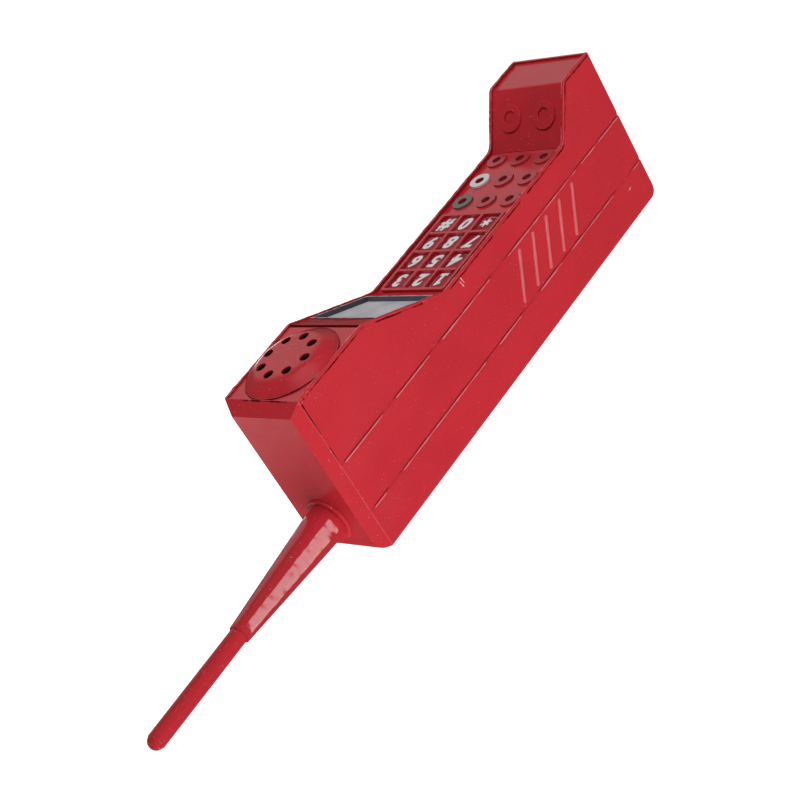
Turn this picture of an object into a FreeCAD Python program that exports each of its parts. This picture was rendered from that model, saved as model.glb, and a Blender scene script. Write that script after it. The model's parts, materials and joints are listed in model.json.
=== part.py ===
"""Toy cell phone in folded, painted sheet metal, standing upright on its lower end.

Millimetres. +Z runs up to the antenna, -Y is the front with the keys, and X is the width.
The origin is the centre of the footprint, on the surface that the phone stands on.
"""
import FreeCAD, Part
import math
import os

V = FreeCAD.Vector

# ---- driving dimensions ------------------------------------------------------------------
CASE_WIDTH = 40.0
CASE_DEPTH = 72.0            # front rim to back face at the mouthpiece and the earpiece
DOME_RISE = 4.0              # how far the earpiece stands in front of the rim
SHEET = 1.0                  # thickness of every folded sheet
MOUTH_EDGE_Z = 20.0          # the fold between the mouthpiece face and its ledge
LEDGE_FOOT_Z = 36.7          # where the ledge meets the keypad
KEYPAD_TOP_Z = 128.3         # where the keypad meets the display
BROW_Z = 169.8               # where the display meets the earpiece
SHOULDER_Z = 211.0           # the top edge of the side plates
CAP_RISE = 4.3               # height of the top cap's bevel
BACK_ROUND = 0.95            # the cap's back edge radius, as a share of the cap's height
CAP_RUN = (4.0, 5.0)         # how far the bevel leans in, at the sides and at the front
KEYPAD_SETBACK = 19.4        # how far the keypad's rim lies behind the front rim
CORNER_R = 4.0               # fold radius at the lower back corner
RIM_INSIDE_R = 6.0           # the rim's hollow corners, at the ledge and the display
RIM_OUTSIDE_R = 3.0          # the rim's proud corners, at the mouthpiece and the brow
FOLD_R = 1.8                 # outside radius of the mouthpiece panel's fold
ANTENNA_TIP_Z = 326.0
RUN_CLEARANCE = 0.08         # all round a part that slides
FIT_CLEARANCE = 0.1          # all round a part that is only put in
OVERCUT = 1.0                # how far a cut runs past the face that it opens

# ---- values that follow --------------------------------------------------------------------
HALF_W = CASE_WIDTH / 2
INNER_X = HALF_W - SHEET
BACK_Y = (CASE_DEPTH + DOME_RISE) / 2
RIM_Y = BACK_Y - CASE_DEPTH
DOME_TOP_Y = RIM_Y - DOME_RISE
GRIP_RIM_Y = RIM_Y + KEYPAD_SETBACK
CAP_TOP_Z = SHOULDER_Z + CAP_RISE
BACK_INNER_Y = BACK_Y - SHEET

# The front rim of a side plate, from the foot to the shoulder, as (y, z).
RIM = {
    "foot": (RIM_Y, 0.0),
    "mouth": (RIM_Y, MOUTH_EDGE_Z),
    "ledge": (GRIP_RIM_Y, LEDGE_FOOT_Z),
    "keypad": (GRIP_RIM_Y, KEYPAD_TOP_Z),
    "brow": (RIM_Y, BROW_Z),
    "shoulder": (RIM_Y, SHOULDER_Z),
}

# ---- front panels: how far each lies below the rim -----------------------------------------
MOUTH_DEPTH = 1.0
KEYPAD_DEPTH = 1.6
DISPLAY_DEPTH = 0.4
EAR_DEPTH = 0.5

KEYPAD_Y = GRIP_RIM_Y + KEYPAD_DEPTH
KEYPAD_BACK_Y = KEYPAD_Y + SHEET
EAR_Y = RIM_Y + EAR_DEPTH
EAR_BACK_Y = EAR_Y + SHEET

LEDGE_GAP = 0.15             # between the ledge's upper edge and the keypad plate
KEYPAD_LAP = 3.0             # how far the keypad plate runs down behind the ledge
SKIRT_DROP = 2.5             # the top cap's skirt, below the side plates' top edge
SKIRT_LAP = 0.5              # the skirt's overlap with the cap's bevel

# ---- side plates ---------------------------------------------------------------------------
CREASE_Y = (-2.5, 20.5)      # two long creases pressed into each side
CREASE_DEPTH = 0.4
CREASE_RAMP = 2.0            # the gentle flank, towards the front
CREASE_LIP = 0.5             # the short flank, towards the back
RIB_COUNT = 5
RIB_LOW = (-0.1, 42.3)       # lower end of the lowest rib, as (y, z)
RIB_HIGH = (18.6, 53.6)      # upper end of the lowest rib
RIB_PITCH = 10.63
RIB_WIDTH = 1.5
RIB_HEIGHT = 0.5

# ---- keypad --------------------------------------------------------------------------------
BUTTON_R = 4.5
BUTTON_HOLE_R = 2.0
BUTTON_PITCH_X = 12.7
BUTTON_ROWS_Z = (42.2, 56.0, 69.8)
BUTTON_PROUD = 0.8
BUTTON_FLANGE_R = 5.2
BUTTON_STEM_R = 3.0
BUTTON_HOLE_DEPTH = 1.2
GRID_HALF_X = 17.2
GRID_Z = (78.5, 126.5)
GRID_TOP_DEPTH = 0.3         # the grid's face below the rim
GRID_BAR = 1.5
GRID_CORNER_R = 1.6
GRID_FLANGE = 0.8
WINDOW_CORNER_R = 0.5
KEY_NAMES = (("star", "0", "hash"), ("7", "8", "9"), ("4", "5", "6"), ("1", "2", "3"))
KEY_SINK = 1.5               # key faces below the grid's face
KEY_FLANGE = 0.5
FLANGE_THICK = 1.0
FLANGE_GAP = 0.05            # between a resting flange and the sheet above it
KEY_TRAVEL = 0.8

GRID_Y = GRIP_RIM_Y + GRID_TOP_DEPTH
GRID_BACK_Y = KEYPAD_BACK_Y + SHEET
WINDOW_X = (2 * GRID_HALF_X - 4 * GRID_BAR) / 3
WINDOW_Z = (GRID_Z[1] - GRID_Z[0] - 5 * GRID_BAR) / 4
KEY_FLANGE_Y = GRID_BACK_Y + FLANGE_GAP
KEY_BACK_Y = KEY_FLANGE_Y + FLANGE_THICK

# ---- board behind the keypad ---------------------------------------------------------------
PAD_R = 3.0
PAD_GAP = 0.2                # left between a pad and a key that is fully pressed
MEMBRANE_Y = KEY_BACK_Y + 3.0
BOARD_Y = MEMBRANE_Y + 1.0
BOARD_THICK = 1.6
BOARD_HALF_X = 17.5
BOARD_Z = (36.0, 127.0)
BOARD_SCREW_X = 15.75
BOARD_SCREWS_Z = (49.1, 114.1)
BOARD_BACK_Y = BOARD_Y + BOARD_THICK
RAIL_FLANGE = 5.0
RAIL_WEB = 8.0
RAIL_INSET = 4.0             # the rails are this much shorter than the board at each end
CHIP_HALF_X = 6.0
CHIP_THICK = 1.8
CHIP_Z = (84.0, 94.0)
CAPACITOR_AT = (8.0, 72.0)   # (x, z)
CAPACITOR_R = 3.0
CAPACITOR_HEIGHT = 7.0
SOCKET_HALF_X = 4.0
SOCKET_DEPTH = 4.0
BATTERY_SOCKET_Z = (98.0, 103.0)
SPEAKER_SOCKET_Z = (118.0, 123.0)

# ---- display -------------------------------------------------------------------------------
SCREEN_HALF_X = 18.0
SCREEN_V = (4.6, 36.0)       # along the slope, from the keypad's fold
BEZEL_WALL = 0.8
BEZEL_PROUD = 0.2
SCREEN_SINK = 1.9            # the pane below the bezel's edge
LENS_THICK = 1.0
LENS_CLEARANCE = 0.05
LENS_LEDGE = 1.0             # width of the ledge behind the pane
FOLD_BACK = 3.0              # how far a panel's free end folds back
LIP_Y = RIM_Y + 0.8          # the fold at the display panel's upper end

# ---- earpiece ------------------------------------------------------------------------------
EAR_CENTRE_Z = 191.3
DOME_R = 19.5
DOME_FLAT_R = 13.0
DOME_BEND_R = 8.0            # outside radius between the dome's flat and its flank
DOME_SEAT_R = 18.9           # outside radius of the short wall that stands on the panel
EAR_HOLE_R = 2.1
EAR_HOLE_CIRCLE = 10.5
EAR_HOLE_COUNT = 8
EAR_HOLE_TURN = -94.5        # degrees, from +X
SOUND_HOLE_R = 14.0
BROW_GAP = 1.8               # open joint between the display's lip and the earpiece panel
SPEAKER_R = 16.0
SPEAKER_FRAME = 2.0          # thickness of the speaker's flat frame
SPEAKER_BASKET = 5.0
SPEAKER_BASKET_R = (12.5, 9.0)   # front and back
SPEAKER_CONE_R = (13.5, 4.0)     # the hollow cone, front and back
SPEAKER_CONE_DEPTH = 4.0
SPEAKER_MAGNET = (8.0, 4.0)  # radius and thickness
TERMINAL_HALF_X = 9.0
TERMINAL_HALF_Z = 2.0
TERMINAL_Y = (EAR_BACK_Y + 4.0, EAR_BACK_Y + 7.0)
TERMINAL_Z = EAR_CENTRE_Z - 10.5
CLAMP_R = (13.2, 19.3)
CLAMP_SCREW_R = 17.5
CLAMP_FLAT = 0.2             # the ring's two flats clear the side plates by this
CLAMP_SCREW_ANGLES = (45, 135, 225, 315)
SCREW_SETBACK = 0.2          # a screw's end behind the face that it must not reach

# ---- mouthpiece ----------------------------------------------------------------------------
RING_R = 6.0
RING_HOLE_R = 2.9
RING_THICK = 0.9
RING_X = 9.1
RING_V = 12.6                # along the ledge, from the mouthpiece's fold

# ---- antenna -------------------------------------------------------------------------------
ANTENNA_Y = 22.2
TUBE_R = 3.5
TUBE_BORE_R = 2.9
TUBE_END_Z = 323.0
TIP_R = 3.25
TIP_PLUG = 8.0               # how far the tip's plug reaches into the tube
CONE_R = (8.05, 4.15)
CONE_TOP_Z = 273.5
COLLAR_R = 10.0
COLLAR_THICK = 1.2
COLLAR_ROUND = 0.8
GUIDE_R = 4.9
GUIDE_LOW_Z = 190.0
GUIDE_NUT_R = 7.0
GUIDE_NUT_THICK = 2.0
GUIDE_HOLE_R = 5.0
STOP_R = 4.6
STOP_LENGTH = 3.7
STOP_GAP = 0.3               # between the stop ring and the guide's lower end
SLIDE_BORE_R = TUBE_R + 0.05 # the bore that the tube slides in

# ---- battery bay ---------------------------------------------------------------------------
BAY_HALF_X = 15.5
BAY_Z = (58.0, 117.0)
HOLDER_HALF_X = 17.2
HOLDER_Z = (51.5, 123.5)
HOLDER_Y = 19.5
HOLDER_FLOOR = 1.2
COVER_HALF_X = 16.4
COVER_Z = (52.5, 122.5)
COVER_GAP = 0.2
COVER_SCREWS_Z = (55.2, 119.8)
COVER_SCREW_LENGTH = 6.0
CELL_R = 7.1
CELL_X = 7.6
CELL_LENGTH = 49.5
CELL_NUB = (2.7, 1.2)        # radius and height
CELL_LOW_Z = 62.0
CELL_GAP = 0.3               # between a cell and the holder's floor
CONTACT_SPRING_R = (2.6, 3.2)
CONTACT_STUD_R = 2.0
CONTACT_THICK = 0.4
CONTACT_HALF = 4.5

# ---- back cover fixings --------------------------------------------------------------------
BACK_SCREW_X = 14.5
BACK_SCREWS_Z = (22.0, 192.0)
BRACKET_DEPTH = 5.0
BRACKET_HEIGHT = 8.0
BRACKET_REACH = 4.0          # from the screw towards the middle
SCREW_R = 1.25
SCREW_HEAD_R = 2.2
HEAD_CLEARANCE = 0.3         # round a screw head that sinks into a sheet
THREAD_GAP = 0.03

# ---- leads ---------------------------------------------------------------------------------
WIRE_D = 1.2
WIRE_HALF_PITCH = 2.0        # from the middle to each wire, at the board's sockets


# ---- helpers ---------------------------------------------------------------------------------
def box(x, y, z):
    """A block between pairs of (low, high) values."""
    return Part.makeBox(x[1] - x[0], y[1] - y[0], z[1] - z[0], V(x[0], y[0], z[0]))


def prism(profile, x):
    """A closed outline of (y, z) points, pulled along X."""
    points = [V(x[0], y, z) for y, z in profile]
    face = Part.Face(Part.makePolygon(points + points[:1]))
    return face.extrude(V(x[1] - x[0], 0, 0))


def rod(radius, y, x, z):
    """A round bar along Y at (x, z)."""
    return Part.makeCylinder(radius, y[1] - y[0], V(x, y[0], z), V(0, 1, 0))


def post(radius, z, x, y):
    """A round bar along Z at (x, y)."""
    return Part.makeCylinder(radius, z[1] - z[0], V(x, y, z[0]), V(0, 0, 1))


def turned(profile, x, y):
    """A closed outline of (radius, z) points, turned about a vertical line."""
    points = [V(x + r, y, z) for r, z in profile]
    face = Part.Face(Part.makePolygon(points + points[:1]))
    return face.revolve(V(x, y, 0), V(0, 0, 1), 360)


def fuse(shapes):
    """Several overlapping solids as one clean solid."""
    return shapes[0].multiFuse(shapes[1:]).removeSplitter()


def both_sides(shape):
    """A shape and its mirror image across the middle of the phone."""
    return [shape, shape.mirror(V(0, 0, 0), V(1, 0, 0))]


def rounded_box(x, y, z, radius):
    """A block whose four edges along Y are rounded."""
    solid = box(x, y, z)
    edges = [e for e in solid.Edges if abs(e.tangentAt(e.FirstParameter).y) > 0.99]
    return solid.makeFillet(radius, edges)


def rounded_outline(corners):
    """A closed face at x = 0 from (y, z, radius) corners; a radius of 0 leaves a corner sharp."""
    edges = []
    points = [V(0, y, z) for y, z, radius in corners]
    ends = []
    for i, (y, z, radius) in enumerate(corners):
        at = points[i]
        into = (at - points[i - 1]).normalize()
        out = (points[(i + 1) % len(points)] - at).normalize()
        turn = into.getAngle(out)
        trim = radius * math.tan(turn / 2)
        ends.append((at - into * trim, at + out * trim))
        if radius > 0:
            middle = at + (out - into).normalize() * radius * (1 / math.cos(turn / 2) - 1)
            edges.append(Part.Arc(ends[i][0], middle, ends[i][1]).toShape())
    for before, after in zip(ends, ends[1:] + ends[:1]):
        edges.append(Part.LineSegment(before[1], after[0]).toShape())
    return Part.Face(Part.Wire(Part.__sortEdges__(edges)))


def slope(start, end):
    """Unit vectors along and square into the front surface between two rim points."""
    dy = end[0] - start[0]
    dz = end[1] - start[1]
    length = math.hypot(dy, dz)
    along = (dy / length, dz / length)
    inward = (along[1], -along[0])
    return along, inward


def slope_point(start, end, v, w):
    """The (y, z) point v along a front slope and w below the rim."""
    along, inward = slope(start, end)
    return (start[0] + along[0] * v + inward[0] * w, start[1] + along[1] * v + inward[1] * w)


def at_y(start, end, w, y):
    """Where the line w below a front slope crosses a given y."""
    along, inward = slope(start, end)
    base = slope_point(start, end, 0, w)
    return (y, base[1] + along[1] * (y - base[0]) / along[0])


def at_z(start, end, w, z):
    """Where the line w below a front slope crosses a given z."""
    along, inward = slope(start, end)
    base = slope_point(start, end, 0, w)
    return (base[0] + along[0] * (z - base[1]) / along[1], z)


def slope_box(start, end, x, v, w):
    """A block laid on a front slope: v along it and w below the rim."""
    corners = [slope_point(start, end, a, b) for a, b in
               ((v[0], w[0]), (v[1], w[0]), (v[1], w[1]), (v[0], w[1]))]
    return prism(corners, x)


def countersunk_screw(x, z, face_y, length, gap=0.0):
    """A flush screw driven in along -Y, or the hole for one when there is a gap."""
    head = Part.makeCone(SCREW_R + gap, SCREW_HEAD_R + gap, SHEET, V(x, face_y - SHEET, z), V(0, 1, 0))
    return fuse([head, rod(SCREW_R + gap, (face_y - length, face_y - SHEET), x, z)])


def pan_screw(x, z, seat_y, length, towards_front):
    """A pan head screw whose head sits on seat_y and whose shank runs along Y."""
    sign = -1 if towards_front else 1
    shank_y = sorted((seat_y, seat_y + sign * length))
    head_y = sorted((seat_y, seat_y - sign * SHEET))
    return fuse([rod(SCREW_R, shank_y, x, z), rod(SCREW_HEAD_R, head_y, x, z)])


# ---- casing ----------------------------------------------------------------------------------
def side_profile():
    """The side plate's outline, with its folded corners rounded."""
    radii = {"mouth": RIM_OUTSIDE_R, "brow": RIM_OUTSIDE_R, "ledge": RIM_INSIDE_R, "keypad": RIM_INSIDE_R}
    corners = [(y, z, radii.get(name, 0)) for name, (y, z) in RIM.items()]
    corners += [(BACK_Y, SHOULDER_Z, 0), (BACK_Y, 0, CORNER_R)]
    return rounded_outline(corners)


def crease(y):
    """The groove of one crease in the outer face of the left side plate."""
    outline = [
        (-HALF_W - OVERCUT, y - CREASE_RAMP),
        (-HALF_W, y - CREASE_RAMP),
        (-HALF_W + CREASE_DEPTH, y),
        (-HALF_W, y + CREASE_LIP),
        (-HALF_W - OVERCUT, y + CREASE_LIP),
    ]
    points = [V(px, py, -OVERCUT) for px, py in outline]
    face = Part.Face(Part.makePolygon(points + points[:1]))
    return face.extrude(V(0, 0, SHOULDER_Z + 2 * OVERCUT))


def side_plate_left():
    plate = side_profile().extrude(V(SHEET, 0, 0))
    plate.translate(V(-HALF_W, 0, 0))
    for y in CREASE_Y:
        plate = plate.cut(crease(y))
    return plate


def grip_ribs_left():
    """Five slanted strips soldered to the side, each with bevelled flanks."""
    rise = RIB_HIGH[1] - RIB_LOW[1]
    reach = RIB_HIGH[0] - RIB_LOW[0]
    length = math.hypot(rise, reach)
    half = RIB_WIDTH / 2
    section = [
        V(0, -half, 0),
        V(-RIB_HEIGHT, -half / 2, 0),
        V(-RIB_HEIGHT, half / 2, 0),
        V(0, half, 0),
    ]
    strip = Part.Face(Part.makePolygon(section + section[:1])).extrude(V(0, 0, length))
    strip.rotate(V(0, 0, 0), V(1, 0, 0), -math.degrees(math.atan2(reach, rise)))
    ribs = []
    for i in range(RIB_COUNT):
        rib = strip.copy()
        rib.translate(V(-HALF_W, RIB_LOW[0], RIB_LOW[1] + RIB_PITCH * i))
        ribs.append(rib)
    return Part.makeCompound(ribs)


def back_cover():
    """The bottom and the back, folded from one sheet, with the battery opening."""
    corners = [
        (RIM_Y, 0, 0),
        (RIM_Y, SHEET, 0),
        (BACK_INNER_Y, SHEET, CORNER_R - SHEET),
        (BACK_INNER_Y, SHOULDER_Z, 0),
        (BACK_Y, SHOULDER_Z, 0),
        (BACK_Y, 0, CORNER_R),
    ]
    cover = rounded_outline(corners).extrude(V(2 * INNER_X, 0, 0))
    cover.translate(V(-INNER_X, 0, 0))
    opening = box((-COVER_HALF_X - COVER_GAP, COVER_HALF_X + COVER_GAP),
                  (BACK_INNER_Y - OVERCUT, BACK_Y + OVERCUT),
                  (COVER_Z[0] - COVER_GAP, COVER_Z[1] + COVER_GAP))
    cover = cover.cut(opening)
    for x in (-BACK_SCREW_X, BACK_SCREW_X):
        for z in BACK_SCREWS_Z:
            cover = cover.cut(countersunk_screw(x, z, BACK_Y, BRACKET_DEPTH, THREAD_GAP))
    return cover


def back_cover_brackets():
    """Four threaded blocks on the side plates that the back cover screws into."""
    blocks = []
    for z in BACK_SCREWS_Z:
        block = box((BACK_SCREW_X - BRACKET_REACH, INNER_X), (BACK_INNER_Y - BRACKET_DEPTH, BACK_INNER_Y),
                    (z - BRACKET_HEIGHT / 2, z + BRACKET_HEIGHT / 2))
        block = block.cut(rod(SCREW_R + THREAD_GAP, (0, BACK_Y), BACK_SCREW_X, z))
        blocks += both_sides(block)
    return Part.makeCompound(blocks)


def back_cover_screws():
    screws = [countersunk_screw(x, z, BACK_Y, BRACKET_DEPTH)
              for x in (-BACK_SCREW_X, BACK_SCREW_X) for z in BACK_SCREWS_Z]
    return Part.makeCompound(screws)


def hipped(inset, low, high):
    """A block with three bevelled sides and a rounded back edge, inset square to its faces."""
    lean_x, lean_y = (run / CAP_RISE for run in CAP_RUN)
    half = HALF_W - inset * math.hypot(lean_x, 1) + lean_x * (SHOULDER_Z - low)
    top_half = half - lean_x * (high - low)
    front = RIM_Y + inset * math.hypot(lean_y, 1) - lean_y * (SHOULDER_Z - low)
    back = BACK_Y - inset
    radius = high - low
    outline = [
        (front, low, 0),
        (front + lean_y * radius, high, 0),
        (back, high, radius * BACK_ROUND),
        (back, low, 0),
    ]
    solid = rounded_outline(outline).extrude(V(2 * half, 0, 0))
    solid.translate(V(-half, 0, 0))
    section = [V(-half, front - OVERCUT, low), V(-top_half, front - OVERCUT, high),
               V(top_half, front - OVERCUT, high), V(half, front - OVERCUT, low)]
    wedge = Part.Face(Part.makePolygon(section + section[:1]))
    return solid.common(wedge.extrude(V(0, CASE_DEPTH + 2 * OVERCUT, 0)))


def top_cap():
    """The bevelled lid over the top end, with a skirt between the side plates."""
    skirt_low = SHOULDER_Z - SKIRT_DROP
    skirt_top = SHOULDER_Z + SKIRT_LAP
    cap = hipped(0, SHOULDER_Z, CAP_TOP_Z)
    hollow = hipped(SHEET, SHOULDER_Z, CAP_TOP_Z - SHEET)
    skirt = box((-INNER_X, INNER_X), (EAR_BACK_Y, BACK_INNER_Y), (skirt_low, skirt_top))
    inside = box((-INNER_X + SHEET, INNER_X - SHEET), (EAR_BACK_Y + SHEET, BACK_INNER_Y - SHEET),
                 (skirt_low - OVERCUT, skirt_top + OVERCUT))
    cap = fuse([cap.cut(hollow), skirt.cut(inside)])
    return cap.cut(post(GUIDE_HOLE_R, (skirt_low, CAP_TOP_Z + OVERCUT), 0, ANTENNA_Y))


# ---- mouthpiece ------------------------------------------------------------------------------
def mouthpiece_panel():
    """One folded sheet: the upright face below the mouth fold and the ledge above it."""
    mouth = RIM["mouth"]
    ledge = RIM["ledge"]
    foot_y = KEYPAD_Y - LEDGE_GAP
    face_y = RIM_Y + MOUTH_DEPTH
    outline = [
        (face_y, SHEET, 0),
        at_y(mouth, ledge, MOUTH_DEPTH, face_y) + (FOLD_R,),
        at_y(mouth, ledge, MOUTH_DEPTH, foot_y) + (0,),
        at_y(mouth, ledge, MOUTH_DEPTH + SHEET, foot_y) + (0,),
        at_y(mouth, ledge, MOUTH_DEPTH + SHEET, face_y + SHEET) + (FOLD_R - SHEET,),
        (face_y + SHEET, SHEET, 0),
    ]
    panel = rounded_outline(outline).extrude(V(2 * INNER_X, 0, 0))
    panel.translate(V(-INNER_X, 0, 0))
    return panel


def mouthpiece_rings():
    """Two flat rings laid on the ledge."""
    along, inward = slope(RIM["mouth"], RIM["ledge"])
    axis = V(0, -inward[0], -inward[1])
    y, z = slope_point(RIM["mouth"], RIM["ledge"], RING_V, MOUTH_DEPTH)
    rings = []
    for x in (-RING_X, RING_X):
        seat = V(x, y, z)
        disc = Part.makeCylinder(RING_R, RING_THICK, seat, axis)
        hole = Part.makeCylinder(RING_HOLE_R, RING_THICK * 3, seat - axis * RING_THICK, axis)
        rings.append(disc.cut(hole))
    return Part.makeCompound(rings)


# ---- keypad ----------------------------------------------------------------------------------
def button_centres():
    """The (x, z) centres of the nine function buttons, row by row from the bottom."""
    return [(column * BUTTON_PITCH_X, z) for z in BUTTON_ROWS_Z for column in (-1, 0, 1)]


def key_centres():
    """Each number key's name with its (x, z) centre."""
    centres = {}
    for row, names in enumerate(KEY_NAMES):
        for column, name in enumerate(names):
            x = (column - 1) * (WINDOW_X + GRID_BAR)
            z = GRID_Z[0] + GRID_BAR + WINDOW_Z / 2 + row * (WINDOW_Z + GRID_BAR)
            centres[name] = (x, z)
    return centres


def display_foot_z():
    """The height at which the display panel's lower fold stands."""
    return at_y(RIM["keypad"], RIM["brow"], DISPLAY_DEPTH, KEYPAD_Y - SHEET)[1]


def keypad_plate():
    """The flat sheet under the keys, with a window for the grid and nine round holes."""
    low_z = LEDGE_FOOT_Z - KEYPAD_LAP
    plate = box((-INNER_X, INNER_X), (KEYPAD_Y, KEYPAD_BACK_Y), (low_z, display_foot_z()))
    gap = FIT_CLEARANCE
    through = (KEYPAD_Y - OVERCUT, KEYPAD_BACK_Y + OVERCUT)
    window = rounded_box((-GRID_HALF_X - gap, GRID_HALF_X + gap), through,
                         (GRID_Z[0] - gap, GRID_Z[1] + gap), GRID_CORNER_R)
    plate = plate.cut(window)
    for x, z in button_centres():
        plate = plate.cut(rod(BUTTON_R + RUN_CLEARANCE, through, x, z))
    return plate


def key_grid():
    """The raised frame of twelve windows, with a flange behind the keypad plate."""
    face = rounded_box((-GRID_HALF_X, GRID_HALF_X), (GRID_Y, GRID_BACK_Y), GRID_Z, GRID_CORNER_R)
    flange = box((-GRID_HALF_X - GRID_FLANGE, GRID_HALF_X + GRID_FLANGE), (KEYPAD_BACK_Y, GRID_BACK_Y),
                 (GRID_Z[0] - GRID_FLANGE, GRID_Z[1] + GRID_FLANGE))
    grid = fuse([face, flange])
    for x, z in key_centres().values():
        window = rounded_box((x - WINDOW_X / 2, x + WINDOW_X / 2), (GRID_Y - OVERCUT, GRID_BACK_Y + OVERCUT),
                             (z - WINDOW_Z / 2, z + WINDOW_Z / 2), WINDOW_CORNER_R)
        grid = grid.cut(window)
    return grid


def number_key(x, z):
    """A key that fills its window, with a flange that stops it behind the grid."""
    half_x = WINDOW_X / 2 - RUN_CLEARANCE
    half_z = WINDOW_Z / 2 - RUN_CLEARANCE
    body = rounded_box((x - half_x, x + half_x), (GRID_Y + KEY_SINK, KEY_BACK_Y),
                       (z - half_z, z + half_z), WINDOW_CORNER_R)
    flange = box((x - half_x - KEY_FLANGE, x + half_x + KEY_FLANGE), (KEY_FLANGE_Y, KEY_BACK_Y),
                 (z - half_z - KEY_FLANGE, z + half_z + KEY_FLANGE))
    return fuse([body, flange])


def function_button(x, z):
    """A round button with a hollow centre, stopped by a flange behind the plate."""
    face_y = KEYPAD_Y - BUTTON_PROUD
    flange_y = KEYPAD_BACK_Y + FLANGE_GAP
    button = fuse([
        rod(BUTTON_R, (face_y, flange_y), x, z),
        rod(BUTTON_FLANGE_R, (flange_y, flange_y + FLANGE_THICK), x, z),
        rod(BUTTON_STEM_R, (flange_y + FLANGE_THICK, KEY_BACK_Y), x, z),
    ])
    return button.cut(rod(BUTTON_HOLE_R, (face_y - OVERCUT, face_y + BUTTON_HOLE_DEPTH), x, z))


# ---- board -----------------------------------------------------------------------------------
def key_membrane():
    """A rubber sheet with one contact pad behind each key and button."""
    pad_y = KEY_BACK_Y + KEY_TRAVEL + PAD_GAP
    sheet = box((-BOARD_HALF_X, BOARD_HALF_X), (MEMBRANE_Y, BOARD_Y), BOARD_Z)
    for x in (-BOARD_SCREW_X, BOARD_SCREW_X):
        for z in BOARD_SCREWS_Z:
            hole = rod(SCREW_HEAD_R + HEAD_CLEARANCE, (MEMBRANE_Y - OVERCUT, BOARD_Y + OVERCUT), x, z)
            sheet = sheet.cut(hole)
    centres = button_centres() + list(key_centres().values())
    pads = [rod(PAD_R, (pad_y, BOARD_Y), x, z) for x, z in centres]
    return fuse([sheet] + pads)


def circuit_board():
    board = box((-BOARD_HALF_X, BOARD_HALF_X), (BOARD_Y, BOARD_BACK_Y), BOARD_Z)
    for x in (-BOARD_SCREW_X, BOARD_SCREW_X):
        for z in BOARD_SCREWS_Z:
            board = board.cut(rod(SCREW_R + THREAD_GAP, (BOARD_Y - OVERCUT, BOARD_BACK_Y + OVERCUT), x, z))
    return board


def board_parts():
    """The sound chip, a capacitor and the lead sockets on the back of the board."""
    chip = box((-CHIP_HALF_X, CHIP_HALF_X), (BOARD_BACK_Y, BOARD_BACK_Y + CHIP_THICK), CHIP_Z)
    capacitor = rod(CAPACITOR_R, (BOARD_BACK_Y, BOARD_BACK_Y + CAPACITOR_HEIGHT), *CAPACITOR_AT)
    sockets = [box((-SOCKET_HALF_X, SOCKET_HALF_X), (BOARD_BACK_Y, BOARD_BACK_Y + SOCKET_DEPTH), z)
               for z in (BATTERY_SOCKET_Z, SPEAKER_SOCKET_Z)]
    return Part.makeCompound([chip, capacitor] + sockets)


def board_rails():
    """Two angle strips on the side plates that carry the board."""
    z = (BOARD_Z[0] + RAIL_INSET, BOARD_Z[1] - RAIL_INSET)
    web = box((INNER_X - SHEET, INNER_X), (BOARD_BACK_Y, BOARD_BACK_Y + RAIL_WEB), z)
    flange = box((INNER_X - RAIL_FLANGE, INNER_X), (BOARD_BACK_Y, BOARD_BACK_Y + SHEET), z)
    rail = fuse([web, flange])
    for screw_z in BOARD_SCREWS_Z:
        hole = rod(SCREW_R + THREAD_GAP, (BOARD_Y, BOARD_BACK_Y + SHEET + OVERCUT), BOARD_SCREW_X, screw_z)
        rail = rail.cut(hole)
    return Part.makeCompound(both_sides(rail))


def board_screws():
    length = BOARD_THICK + SHEET
    screws = [pan_screw(x, z, BOARD_Y, length, False)
              for x in (-BOARD_SCREW_X, BOARD_SCREW_X) for z in BOARD_SCREWS_Z]
    return Part.makeCompound(screws)


# ---- display ---------------------------------------------------------------------------------
def display_panel():
    """The sloping sheet round the screen, folded back at both ends."""
    start = RIM["keypad"]
    end = RIM["brow"]
    low_z = display_foot_z()
    brow = at_y(start, end, DISPLAY_DEPTH, LIP_Y)
    outline = [
        (KEYPAD_BACK_Y, low_z),
        (KEYPAD_Y - SHEET, low_z),
        brow,
        (LIP_Y + FOLD_BACK, brow[1]),
        (LIP_Y + FOLD_BACK, brow[1] - SHEET),
        at_z(start, end, DISPLAY_DEPTH + SHEET, brow[1] - SHEET),
        at_z(start, end, DISPLAY_DEPTH + SHEET, low_z + SHEET),
        (KEYPAD_BACK_Y, low_z + SHEET),
    ]
    panel = prism(outline, (-INNER_X, INNER_X))
    window = slope_box(start, end, (-SCREEN_HALF_X, SCREEN_HALF_X), SCREEN_V,
                       (DISPLAY_DEPTH - OVERCUT, DISPLAY_DEPTH + SHEET + FOLD_BACK))
    return panel.cut(window)


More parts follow.
